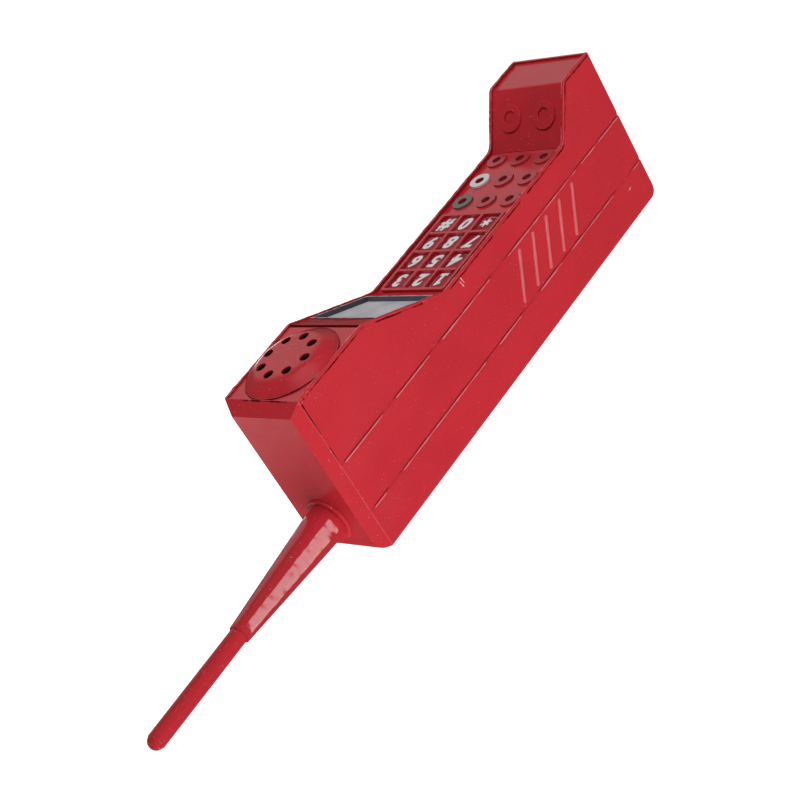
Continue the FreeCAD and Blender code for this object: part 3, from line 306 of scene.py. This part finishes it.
# ---- pieces made here --------------------------------------------------------------------------
SLIM = 0.02 * MM             # two CAD points closer than this are the same point
PAINT_PROUD = 0.03 * MM      # half the height of a painted line
LINE_STEP = 0.4 * MM
UNBROKEN = -1.0              # a gap that the noise never falls below


def add_piece(name, mesh, body, material):
    """Turn a finished bmesh into a smooth piece that moves with a CAD body."""
    bmesh.ops.recalc_face_normals(mesh, faces=mesh.faces)
    data = bpy.data.meshes.new(name)
    mesh.to_mesh(data)
    mesh.free()
    data.polygons.foreach_set("use_smooth", [True] * len(data.polygons))
    data.materials.append(MATERIALS[material])
    piece = bpy.data.objects.new(name, data)
    bpy.context.scene.collection.objects.link(piece)
    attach(piece, body)
    return piece


def skin(mesh, rings):
    """A closed solid over rings of points."""
    loops = [[mesh.verts.new(point) for point in ring] for ring in rings]
    for one, two in zip(loops, loops[1:]):
        for i in range(len(one)):
            j = (i + 1) % len(one)
            mesh.faces.new((one[i], one[j], two[j], two[i]))
    mesh.faces.new(loops[0])
    mesh.faces.new(list(reversed(loops[-1])))


def ring(centre, across, up, half_width, half_height, count, power=2.0):
    """A rounded section: an ellipse, or a squarer shape for a power above 2."""
    points = []
    for i in range(count):
        turn = 2 * math.pi * i / count
        a = math.copysign(abs(math.cos(turn)) ** (2 / power), math.cos(turn))
        b = math.copysign(abs(math.sin(turn)) ** (2 / power), math.sin(turn))
        points.append(centre + across * (a * half_width) + up * (b * half_height))
    return points


def wobble(travelled, pitch, seed):
    """A smooth random number from about -0.5 to 0.5 that changes over a pitch along a line."""
    return noise.noise(Vector((travelled / pitch, seed, 0.5)))


def stations(points, step, closed=False):
    """Places a step apart along a line of points, each with the distance gone and the direction."""
    places = []
    ends = points[1:] + points[:1] if closed else points[1:]
    for start, end in zip(points, ends):
        pieces = max(1, round((end - start).length / step))
        places += [start.lerp(end, i / pieces) for i in range(pieces)]
    places.append(points[0].copy() if closed else points[-1])
    travelled = 0.0
    found = []
    for i, place in enumerate(places):
        before = places[max(i - 1, 0)]
        after = places[min(i + 1, len(places) - 1)]
        travelled += (place - before).length
        found.append((travelled, place, (after - before).normalized()))
    return found


def painted_line(mesh, points, up, seed, half_width, gap=UNBROKEN, pitch=3.0 * MM, closed=False):
    """A thin uneven painted line, broken wherever the noise falls below gap."""
    run = []
    for travelled, place, along in stations(points, LINE_STEP, closed):
        if wobble(travelled, pitch, seed) > gap:
            half = half_width * (1 + 1.2 * wobble(travelled, pitch / 3, seed + 7))
            run.append((place, along.cross(up), half))
            continue
        finish_line(mesh, run, up)
        run = []
    finish_line(mesh, run, up)


def finish_line(mesh, run, up):
    """One unbroken stretch of a painted line, drawn out to a point at both ends."""
    if len(run) < 3:
        return
    rings = []
    for i, (place, across, half) in enumerate(run):
        taper = min(1.0, 0.35 * (1 + min(i, len(run) - 1 - i)))
        rings.append(ring(place, across, up, half * taper, PAINT_PROUD * taper, 8))
    skin(mesh, rings)


# ---- rims --------------------------------------------------------------------------------------
FORWARD = Vector((0, -1, 0))
CREASE_FRONT_Y = -5.0 * MM   # the rim's points lie in front of this, and the creases behind it
BEAD_HALF_X = 0.64 * MM
BEAD_HALF_OUT = 0.58 * MM
BEAD_IN = 0.46 * MM          # from the plate's outer face to the middle of the bead
BEAD_DOWN = 0.33 * MM        # from the rim down to the middle of the bead
SEAM_DOWN = 1.05 * MM
BEAD_STEP = 0.6 * MM
DRIP_Z = 205.4 * MM          # where a drop of paint has set on each rim
DRIP_LENGTH = 0.8 * MM


def side_face(node_name):
    """The x of a side plate's outer face, and the direction that it looks in."""
    low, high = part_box(node_name)
    face_x = max((low.x, high.x), key=abs)
    return face_x, Vector((math.copysign(1.0, face_x), 0, 0))


def rim_points(node_name):
    """The front edge of a side plate's outer face, from the foot up."""
    face_x = side_face(node_name)[0]
    found = {(round(v.co.y, 6), round(v.co.z, 6)) for v in NODES[node_name].data.vertices
             if abs(v.co.x - face_x) < SLIM and v.co.y < CREASE_FRONT_Y}
    return [Vector((face_x, y, z)) for y, z in sorted(found, key=lambda point: point[1])]


def away_from_rim(outward, along):
    """The direction out of the rim's edge, square to the rim and to the side."""
    out = outward.cross(along)
    return -out if out.y > 0 else out


def paint_bead(side, seed):
    """Thick paint gathered along a rim, with lumps where the brush stopped."""
    points = rim_points("side_plate_" + side)
    outward = side_face("side_plate_" + side)[1]
    ledge_low, ledge_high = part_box("mouthpiece_rings")
    places = stations(points, BEAD_STEP)
    rings = []
    for i, (travelled, place, along) in enumerate(places):
        out = away_from_rim(outward, along)
        size = 1 + 0.22 * wobble(travelled, 4 * MM, seed) + 0.10 * wobble(travelled, 1.2 * MM, seed + 3)
        if ledge_low.z < place.z < ledge_high.z:
            size += 0.5 * max(0.0, wobble(travelled, 1.6 * MM, seed + 5))
        size += 0.35 * math.exp(-((place.z - DRIP_Z) / DRIP_LENGTH) ** 2)
        size *= min(1.0, 0.4 + 0.3 * min(i, len(places) - 1 - i))
        centre = place - outward * BEAD_IN - out * BEAD_DOWN
        centre += out * (0.08 * MM * wobble(travelled, 2.5 * MM, seed + 9))
        rings.append(ring(centre, outward, out, BEAD_HALF_X * size, BEAD_HALF_OUT * size, 16, 2.6))
    mesh = bmesh.new()
    skin(mesh, rings)
    add_piece("rim_paint_" + side, mesh, "case", "red_paint")


def rim_seam(side, seed):
    """The dark broken line below the bead, where the paint has shrunk back."""
    points = rim_points("side_plate_" + side)
    outward = side_face("side_plate_" + side)[1]
    line = []
    for travelled, place, along in stations(points, LINE_STEP):
        out = away_from_rim(outward, along)
        line.append(place - out * (SEAM_DOWN + 0.10 * MM * wobble(travelled, 3 * MM, seed)))
    mesh = bmesh.new()
    painted_line(mesh, line, outward, seed, half_width=0.27 * MM, gap=-0.28, pitch=8 * MM)
    add_piece("rim_seam_" + side, mesh, "case", "seam_and_shade_paint")


def rim_highlight_line(side, name, inset, down, material, seed):
    """A pale line along a rim that paints its highlight, set in from the plate's outer face and down from
    the rim.
    """
    points = rim_points("side_plate_" + side)
    outward = side_face("side_plate_" + side)[1]
    line = []
    for travelled, place, along in stations(points, LINE_STEP):
        out = away_from_rim(outward, along)
        line.append(place - outward * inset - out * down)
    mesh = bmesh.new()
    painted_line(mesh, line, FORWARD, seed, half_width=0.24 * MM, gap=-0.34, pitch=6 * MM)
    add_piece(name + side, mesh, "case", material)


# ---- side details ------------------------------------------------------------------------------
LUMP_IN = 0.15 * MM          # from the side's outer face to the middle of a blob
LUMP_SPREAD = Vector((0.45, 0.80, 1.15))
LUMPS = {                    # (y, z, radius) of each blob, in millimetres
    "left": ((-33.2, 207.2, 1.0), (-32.6, 205.0, 0.75), (-33.3, 202.4, 0.6), (-32.7, 209.6, 0.9)),
    "right": ((-33.2, 209.2, 0.9), (-33.0, 206.4, 0.6)),
}
SCUFFS = (                   # (y, z) at both ends of each scratch or dab, in millimetres
    ((-13.6, 118.6), (-10.2, 118.0)),
    ((-12.4, 119.8), (-9.2, 119.0)),
    ((25.5, 12.2), (25.8, 14.4)),
)
SHOULDER_LINE_DOWN = 0.35 * MM
SHOULDER_LINE_IN = 1.5 * MM  # from the front rim to where the line starts
BEZEL_SLACK = 0.6 * MM       # how far the frame's front face may tilt from the direction given for it
CREASE_SINK = 0.38 * MM
CREASE_LIP = 0.55 * MM       # from a crease's bottom back to the painted highlight on its lip
CREASE_ENDS = (1.0 * MM, 2.5 * MM)       # how far the painted creases stop short, at the foot and the top
WELL_SECTION = (             # a well's lining from its floor up its inside, then down behind it in the
    (-0.30, 1.15),           # button's wall: (radius beyond the hollow's, depth), in millimetres
    (-0.06, 0.85),
    (-0.03, 0.12),
    (0.10, 0.30),
    (0.10, 1.30),
)
WELL_SIDES = 28
DOME_SEAM_OUT = 0.1 * MM
DOME_SEAM_SIDES = 72
CAP_SEAM_UP = 0.45 * MM
CAP_SEAM_ENDS = (-0.75, 0.55)            # shares of the earpiece panel's half width
RIB_HALF = 0.92 * MM
RIB_END = 0.9 * MM           # the length over which an end is rounded
RIB_STEP = 0.45 * MM


def islands(mesh):
    """The separate lumps of a mesh, each as a list of vertices."""
    left = set(mesh.verts)
    found = []
    while left:
        group = []
        queue = [left.pop()]
        while queue:
            vertex = queue.pop()
            group.append(vertex)
            for edge in vertex.link_edges:
                other = edge.other_vert(vertex)
                if other in left:
                    left.remove(other)
                    queue.append(other)
        found.append(group)
    return found


def rib_ends(node_name):
    """The middle of the lower and the upper end of each rib in a CAD node."""
    mesh = bmesh.new()
    mesh.from_mesh(NODES[node_name].data)
    bmesh.ops.remove_doubles(mesh, verts=mesh.verts, dist=SLIM)
    ends = []
    for group in islands(mesh):
        places = sorted((v.co.copy() for v in group), key=lambda place: place.z)
        half = len(places) // 2
        lower = sum(places[:half], Vector()) / half
        upper = sum(places[half:], Vector()) / (len(places) - half)
        ends.append((lower, upper))
    mesh.free()
    return sorted(ends, key=lambda pair: pair[0].z)


def grip_ribs(side, seed):
    """Five slanted bars with round backs and ends, painted pale as the highlight along their rounded
    tops.
    """
    node_name = "grip_ribs_" + side
    low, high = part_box(node_name)
    face_x = min((low.x, high.x), key=abs)
    outward = Vector((math.copysign(1.0, face_x), 0, 0))
    rise = high.x - low.x
    mesh = bmesh.new()
    for number, (start, end) in enumerate(rib_ends(node_name)):
        start.x = end.x = face_x
        rings = []
        length = (end - start).length
        for travelled, place, along in stations([start, end], RIB_STEP):
            from_end = min(travelled, length - travelled)
            swell = math.sqrt(max(0.06, 1 - (1 - min(1.0, from_end / RIB_END)) ** 2))
            half = RIB_HALF * swell * (1 + 0.16 * wobble(travelled, 4 * MM, seed + number))
            height = rise * swell * (0.94 + 0.12 * wobble(travelled, 3 * MM, seed + 20 + number))
            rings.append(ring(place, along.cross(outward), outward, half, height, 14))
        skin(mesh, rings)
    piece = add_piece("ribs_" + side, mesh, "case", "rib_highlight_paint")
    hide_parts(node_name)


def scuffs():
    """Pale scratches and dabs on the left side."""
    face_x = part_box("side_plate_left")[0].x
    outward = Vector((-1, 0, 0))
    mesh = bmesh.new()
    for number, ends in enumerate(SCUFFS):
        line = [Vector((face_x, y * MM, z * MM)) for y, z in ends]
        painted_line(mesh, line, outward, 60 + number, half_width=0.22 * MM)
    add_piece("scuffs", mesh, "case", "scuff")


def creases_y(node_name):
    """The bottoms of a side plate's creases: its only points between the two faces."""
    low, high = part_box(node_name)
    found = {round(v.co.y, 6) for v in NODES[node_name].data.vertices
             if low.x + SLIM < v.co.x < high.x - SLIM}
    return sorted(found)


def crease_lines(side, seed):
    """Painted shade along the bottom and a painted highlight along the lip of each long crease in a side.
    """
    low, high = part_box("side_plate_" + side)
    face_x, outward = side_face("side_plate_" + side)
    for number, y in enumerate(creases_y("side_plate_" + side)):
        # a dark line in the crease's bottom paints its shade; a pale line on its lip paints its highlight
        for name, at_y, sink, material, gap in (
            ("crease_dark_", y, CREASE_SINK, "seam_and_shade_paint", -0.42),
            ("crease_lip_", y + CREASE_LIP, 0.0, "highlight_paint", -0.28),
        ):
            foot = Vector((face_x, at_y, low.z + CREASE_ENDS[0])) - outward * sink
            line = [foot, foot + Vector((0, 0, high.z - low.z - sum(CREASE_ENDS)))]
            mesh = bmesh.new()
            painted_line(mesh, line, outward, seed + number, half_width=0.24 * MM, gap=gap, pitch=14 * MM)
            add_piece("%s%s_%d" % (name, side, number + 1), mesh, "case", material)


def dome_seam():
    """The dark joint round the foot of the earpiece."""
    low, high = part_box("earpiece_dome")
    rim_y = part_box("side_plate_left")[0].y
    radius = (high.x - low.x) / 2 + DOME_SEAM_OUT
    middle = Vector((0, rim_y, (low.z + high.z) / 2))
    line = []
    for i in range(DOME_SEAM_SIDES):
        turn = 2 * math.pi * i / DOME_SEAM_SIDES
        line.append(middle + Vector((radius * math.cos(turn), 0, radius * math.sin(turn))))
    mesh = bmesh.new()
    painted_line(mesh, line, FORWARD, 91, half_width=0.12 * MM, gap=-0.28, pitch=8 * MM, closed=True)
    add_piece("dome_seam", mesh, "case", "seam_and_shade_paint")


def button_well(number):
    """Dark paint lining a button's hollow centre: painted shade inside the hole."""
    node_name = "function_button_%d" % number
    low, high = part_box(node_name)
    middle = (low + high) / 2
    hollow = min(math.hypot(v.co.x - middle.x, v.co.z - middle.z) for v in NODES[node_name].data.vertices)
    section = [(hollow + beyond * MM, depth * MM) for beyond, depth in WELL_SECTION]
    section = [(0.0, section[0][1])] + section + [(0.0, section[-1][1])]
    mesh = bmesh.new()
    previous = None
    for radius, depth in section:
        loop = []
        for i in range(WELL_SIDES):
            turn = 2 * math.pi * i / WELL_SIDES
            x = middle.x + radius * math.cos(turn)
            loop.append(mesh.verts.new((x, low.y + depth, middle.z + radius * math.sin(turn))))
        if previous:
            for i in range(WELL_SIDES):
                j = (i + 1) % WELL_SIDES
                mesh.faces.new((previous[i], previous[j], loop[j], loop[i]))
        previous = loop
    bmesh.ops.remove_doubles(mesh, verts=mesh.verts, dist=WELD_DISTANCE)
    add_piece("button_well_%d" % number, mesh, node_name, "well_shade_paint")


def bezel_line():
    """A pale broken line round the edge of the display's sunken frame."""
    normal = Vector(DISPLAY_FACING).normalized()
    places = [vertex.co.copy() for vertex in NODES["display_bezel"].data.vertices]
    front = max(place.dot(normal) for place in places)
    face = [place for place in places if place.dot(normal) > front - BEZEL_SLACK]
    corners = []
    for side_x, side_z in ((-1, -1), (1, -1), (1, 1), (-1, 1)):
        corner = max(face, key=lambda place: side_x * place.x + side_z * place.z)
        corners.append(corner + normal * PAINT_PROUD / 2)
    mesh = bmesh.new()
    painted_line(mesh, corners, normal, 97, half_width=0.32 * MM, gap=-0.40, pitch=7 * MM, closed=True)
    add_piece("bezel_line", mesh, "case", "bezel_line")


def paint_lumps():
    """Blobs of paint that ran together at the front corners under the top cap."""
    for side, places in LUMPS.items():
        face_x, outward = side_face("side_plate_" + side)
        mesh = bmesh.new()
        for number, (y, z, size) in enumerate(places):
            found = bmesh.ops.create_icosphere(mesh, subdivisions=3, radius=1.0)["verts"]
            at = Vector((face_x, y * MM, z * MM)) - outward * LUMP_IN
            for vertex in found:
                grain = 1 + 0.30 * noise.noise(vertex.co * 1.3 + Vector((number, 7 * outward.x, 3)))
                vertex.co = at + vertex.co * LUMP_SPREAD * (grain * size * MM)
        add_piece("paint_lumps_" + side, mesh, "case", "red_paint")


def cap_seam():
    """The open joint under the front of the top cap, part filled with paint."""
    half_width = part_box("ear_panel")[1].x
    cap_low, cap_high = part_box("top_cap")
    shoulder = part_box("side_plate_left")[1].z
    top_y = min(v.co.y for v in NODES["top_cap"].data.vertices if v.co.z > cap_high.z - SLIM)
    slope = Vector((0, top_y - cap_low.y, cap_high.z - shoulder)).normalized()
    up = Vector((0, -slope.z, slope.y))
    foot = Vector((0, cap_low.y, shoulder)) + slope * CAP_SEAM_UP
    line = [foot + Vector((half_width * share, 0, 0)) for share in CAP_SEAM_ENDS]
    mesh = bmesh.new()
    painted_line(mesh, line, up, 81, half_width=0.24 * MM, gap=-0.35, pitch=6 * MM)
    add_piece("cap_seam", mesh, "case", "seam_and_shade_paint")


def shoulder_seam(side, seed):
    """The dark joint where a side meets the top cap, open at the front and filled further back."""
    node_name = "side_plate_" + side
    low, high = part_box(node_name)
    face_x, outward = side_face(node_name)
    ends = (low.y + SHOULDER_LINE_IN, creases_y(node_name)[0])
    line = [Vector((face_x, y, high.z - SHOULDER_LINE_DOWN)) for y in ends]
    mesh = bmesh.new()
    painted_line(mesh, line, outward, seed, half_width=0.22 * MM, gap=-0.42, pitch=9 * MM)
    add_piece("shoulder_seam_" + side, mesh, "case", "seam_and_shade_paint")


# ---- key figures -------------------------------------------------------------------------------
FIGURES = {"hash": "#"}
BARS = {
    "1": (((0.0, -0.5), (0.0, 0.5)), ((-0.26, 0.26), (0.04, 0.46)), ((-0.28, -0.42), (0.28, -0.42))),
    "star": (((0.0, -0.5), (0.0, 0.5)), ((-0.43, -0.25), (0.43, 0.25)), ((-0.43, 0.25), (0.43, -0.25))),
}
BAR_HALF = 0.10              # half the width of a bar, in figure heights
BAR_STAGGER = 0.002          # keeps the faces of crossing bars apart
FIGURE_BOLD = 0.042
FIGURE_EXTRUDE = 0.01
FIGURE_HEIGHT = 7.5 * MM
STAR_HEIGHT = 5.0 * MM
FIGURE_SHIFT = (1.6 * MM, -1.1 * MM)     # figures stand off the middle of their keys, in x and z
FIGURE_PROUD = 0.05 * MM
FIGURE_NARROW = 0.95
FIGURE_SLANT = 0.20
FILM_HALF = (3.7 * MM, 4.2 * MM)
FILM_CORNER = 1.9 * MM
FILM_SHIFT = (0.5 * MM, -0.2 * MM)       # the film stands off the middle of its key, in x and z
FILM_SIDES = 24


def lettered_figure(name):
    """The mesh of a printed figure, in font units."""
    text = bpy.data.curves.new("figure_" + name, "FONT")
    text.body = FIGURES.get(name, name)
    text.offset = FIGURE_BOLD
    text.extrude = FIGURE_EXTRUDE
    text.resolution_u = 5
    holder = bpy.data.objects.new("text_" + name, text)
    data = bpy.data.meshes.new_from_object(holder)
    bpy.data.objects.remove(holder)
    mesh = bmesh.new()
    mesh.from_mesh(data)
    bpy.data.meshes.remove(data)
    return mesh


def barred_figure(bars):
    """A figure made of straight bars, each from end to end in figure heights."""
    mesh = bmesh.new()
    for number, (start, end) in enumerate(bars):
        start, end = Vector((*start, 0)), Vector((*end, 0))
        along = (end - start).normalized()
        across = Vector((-along.y, along.x, 0))
        front = FIGURE_EXTRUDE + BAR_STAGGER * number
        loops = []
        for place in (start, end):
            corners = [(-1, -front), (1, -front), (1, front), (-1, front)]
            loops.append([place + across * (BAR_HALF * side) + Vector((0, 0, z)) for side, z in corners])
        skin(mesh, loops)
    bmesh.ops.recalc_face_normals(mesh, faces=mesh.faces)
    return mesh


def key_figure(name):
    """A bold slanted figure on a key."""
    low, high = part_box("key_" + name)
    mesh = barred_figure(BARS[name]) if name in BARS else lettered_figure(name)
    left, right = (pick(v.co.x for v in mesh.verts) for pick in (min, max))
    foot, head = (pick(v.co.y for v in mesh.verts) for pick in (min, max))
    scale = (STAR_HEIGHT if name == "star" else FIGURE_HEIGHT) / (head - foot)
    middle = (low + high) / 2
    for vertex in mesh.verts:
        rise = (vertex.co.y - (foot + head) / 2) * scale
        reach = (vertex.co.x - (left + right) / 2) * scale * FIGURE_NARROW + rise * FIGURE_SLANT
        front = FIGURE_PROUD * vertex.co.z / FIGURE_EXTRUDE
        vertex.co = (middle.x + FIGURE_SHIFT[0] + reach, low.y - front, middle.z + FIGURE_SHIFT[1] + rise)
    piece = add_piece("figure_" + name, mesh, "key_" + name, "decal")
    piece.data.polygons.foreach_set("use_smooth", [False] * len(piece.data.polygons))


def film_edge(name, seed):
    """The smudged edge of the clear film that carries a figure."""
    low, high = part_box("key_" + name)
    middle = Vector(((low.x + high.x) / 2 + FILM_SHIFT[0], low.y, (low.z + high.z) / 2 + FILM_SHIFT[1]))
    line = []
    for i in range(FILM_SIDES):
        turn = 2 * math.pi * i / FILM_SIDES
        cos, sin = math.cos(turn), math.sin(turn)
        x = math.copysign(FILM_HALF[0] - FILM_CORNER, cos) + FILM_CORNER * cos
        z = math.copysign(FILM_HALF[1] - FILM_CORNER, sin) + FILM_CORNER * sin
        line.append(middle + Vector((x, 0, z)))
    mesh = bmesh.new()
    painted_line(mesh, line, FORWARD, seed, half_width=0.26 * MM, gap=-0.12, pitch=5 * MM, closed=True)
    add_piece("film_" + name, mesh, "key_" + name, "decal_edge")


# ---- all the pieces ----------------------------------------------------------------------------
for number, side_name in enumerate(("left", "right")):
    paint_bead(side_name, 11 + 40 * number)
    rim_seam(side_name, 23 + 40 * number)
    # a painted highlight along the inner edge of each front rim
    rim_highlight_line(side_name, "rim_highlight_inner_", 0.90 * MM, -0.13 * MM, "highlight_paint", 37 + 40 * number)
    crease_lines(side_name, 43 + 40 * number)
    shoulder_seam(side_name, 47 + 40 * number)
    grip_ribs(side_name, 31 + 40 * number)
# a grey painted reflection along the outer edge of the right rim
rim_highlight_line("right", "rim_reflection_outer_", 0.0, 0.10 * MM, "reflection_grey", 151)
scuffs()
cap_seam()
dome_seam()
bezel_line()
paint_lumps()
for button in range(1, 10):
    button_well(button)
for number, key_name in enumerate(["star", "hash"] + list("0123456789")):
    key_figure(key_name)
    film_edge(key_name, 101 + number)


# ---- studio ------------------------------------------------------------------------------------
# The floor and the surroundings by their emission, and the last three, the lamps, in watts.
STRENGTHS = {"floor": 0.96, "base": 0.07, "front_panel": 0.47, "top_panel": 0.98, "strip": 3.0,
             "glint": 3.0, "key": 22.0, "front_fill": 16.5, "top_fill": 22.0}
STRIP_TOWARDS = (-0.85, 0.10, -0.30)
STRIP_ANGLES = (42, 46)                  # degrees from its middle, between which it fades out
STRIP_FADE_IN = (-0.38, -0.34)           # heights on the unit sphere of directions
STRIP_FADE_OUT = (-0.25, -0.21)
PANELS = (                               # name, direction, and the degrees between which it fades out
    ("front_panel", (0.70, -0.50, -0.51), 11, 33),
    ("top_panel", (0.83, 0.33, 0.46), 7, 12),
    ("glint", (0.86, 0.04, -0.50), 2, 9),
)
LAMPS = (                                # name, place and width, in metres
    ("key", (-1.45, 0.45, 0.30), 1.0),
    ("front_fill", (-0.2, -1.4, 0.12), 0.8),
    ("top_fill", (0.2, 0.9, 1.3), 1.8),
)
PHONE_MIDDLE = (0.0, 0.0, 0.13)
FLOOR_FLAT = 1.7                         # radius of the flat part, in metres
FLOOR_SWEEP = 0.6                        # radius of the curve up into the wall
FLOOR_TOP = 2.6
FLOOR_SIDES = 64
SWEEP_STEPS = 12
WHITE = (1.0, 1.0, 1.0, 1.0)


def soft_patch(tree, direction, centre, inner, outer, strength):
    """A round soft light in the surroundings, centred on a direction; the angles are in degrees."""
    toward = Vector(centre).normalized()
    dot = node(tree, "VectorMath", {0: direction, 1: toward}, operation="DOT_PRODUCT").outputs["Value"]
    return ramp(tree, dot, math.cos(math.radians(outer)), math.cos(math.radians(inner)), 0.0, strength)


def make_surroundings():
    """A dim studio with a wide low strip of light on the left and three soft panels on the right."""
    world = bpy.data.worlds.new("studio")
    bpy.context.scene.world = world
    world.use_nodes = True
    tree = world.node_tree
    direction = node(tree, "TexCoord").outputs["Generated"]
    height = node(tree, "SeparateXYZ", {0: direction}).outputs["Z"]
    lower = ramp(tree, height, *STRIP_FADE_IN)
    upper = ramp(tree, height, *STRIP_FADE_OUT, 1.0, 0.0)
    strip = soft_patch(tree, direction, STRIP_TOWARDS, *STRIP_ANGLES, STRENGTHS["strip"])
    strip = calculate(tree, "MULTIPLY", strip, calculate(tree, "MULTIPLY", lower, upper))
    light = calculate(tree, "ADD", strip, STRENGTHS["base"])
    for name, centre, inner, outer in PANELS:
        patch = soft_patch(tree, direction, centre, inner, outer, STRENGTHS[name])
        light = calculate(tree, "ADD", light, patch)
    background = tree.nodes["Background"]
    tree.links.new(light, background.inputs["Strength"])
    background.inputs["Color"].default_value = WHITE


def soft_light(name, at, size):
    """A square soft light aimed at the phone, which shows in no reflection."""
    light = bpy.data.lights.new(name, "AREA")
    light.size = size
    light.energy = STRENGTHS[name]
    holder = bpy.data.objects.new(name, light)
    bpy.context.scene.collection.objects.link(holder)
    look = (Vector(PHONE_MIDDLE) - Vector(at)).to_track_quat("-Z", "Y")
    holder.matrix_world = Matrix.Translation(at) @ look.to_matrix().to_4x4()
    holder.visible_glossy = False


def make_floor():
    """A pale floor that sweeps up into a wall all round."""
    profile = []
    for step in range(SWEEP_STEPS + 1):
        turn = math.pi / 2 * step / SWEEP_STEPS
        profile.append((FLOOR_FLAT + FLOOR_SWEEP * math.sin(turn), FLOOR_SWEEP * (1 - math.cos(turn))))
    profile.append((FLOOR_FLAT + FLOOR_SWEEP, FLOOR_TOP))
    turns = [2 * math.pi * i / FLOOR_SIDES for i in range(FLOOR_SIDES)]
    mesh = bmesh.new()
    rings = []
    for radius, z in profile:
        rings.append([mesh.verts.new((radius * math.cos(a), radius * math.sin(a), z)) for a in turns])
    mesh.faces.new(rings[0])
    for lower, upper in zip(rings, rings[1:]):
        for i in range(FLOOR_SIDES):
            j = (i + 1) % FLOOR_SIDES
            mesh.faces.new((lower[i], lower[j], upper[j], upper[i]))
    data = bpy.data.meshes.new("floor")
    mesh.to_mesh(data)
    mesh.free()
    data.polygons.foreach_set("use_smooth", [len(p.vertices) == 4 for p in data.polygons])
    floor = bpy.data.objects.new("floor", data)
    bpy.context.scene.collection.objects.link(floor)
    floor.visible_glossy = False
    floor.visible_diffuse = False
    material, tree, shader = new_material("floor")
    cloud = speckle(tree, position(tree), 3.0)
    colour = mix(tree, cloud, (0.40, 0.40, 0.40, 1.0), (0.43, 0.43, 0.43, 1.0))
    tree.links.new(colour, shader.inputs["Base Color"])
    shader.inputs["Roughness"].default_value = 0.9
    shader.inputs["Emission Color"].default_value = WHITE
    shader.inputs["Emission Strength"].default_value = STRENGTHS["floor"]
    data.materials.append(material)


make_surroundings()
make_floor()
for lamp_name, place, width in LAMPS:
    soft_light(lamp_name, place, width)
bpy.context.scene.view_settings.view_transform = "Standard"
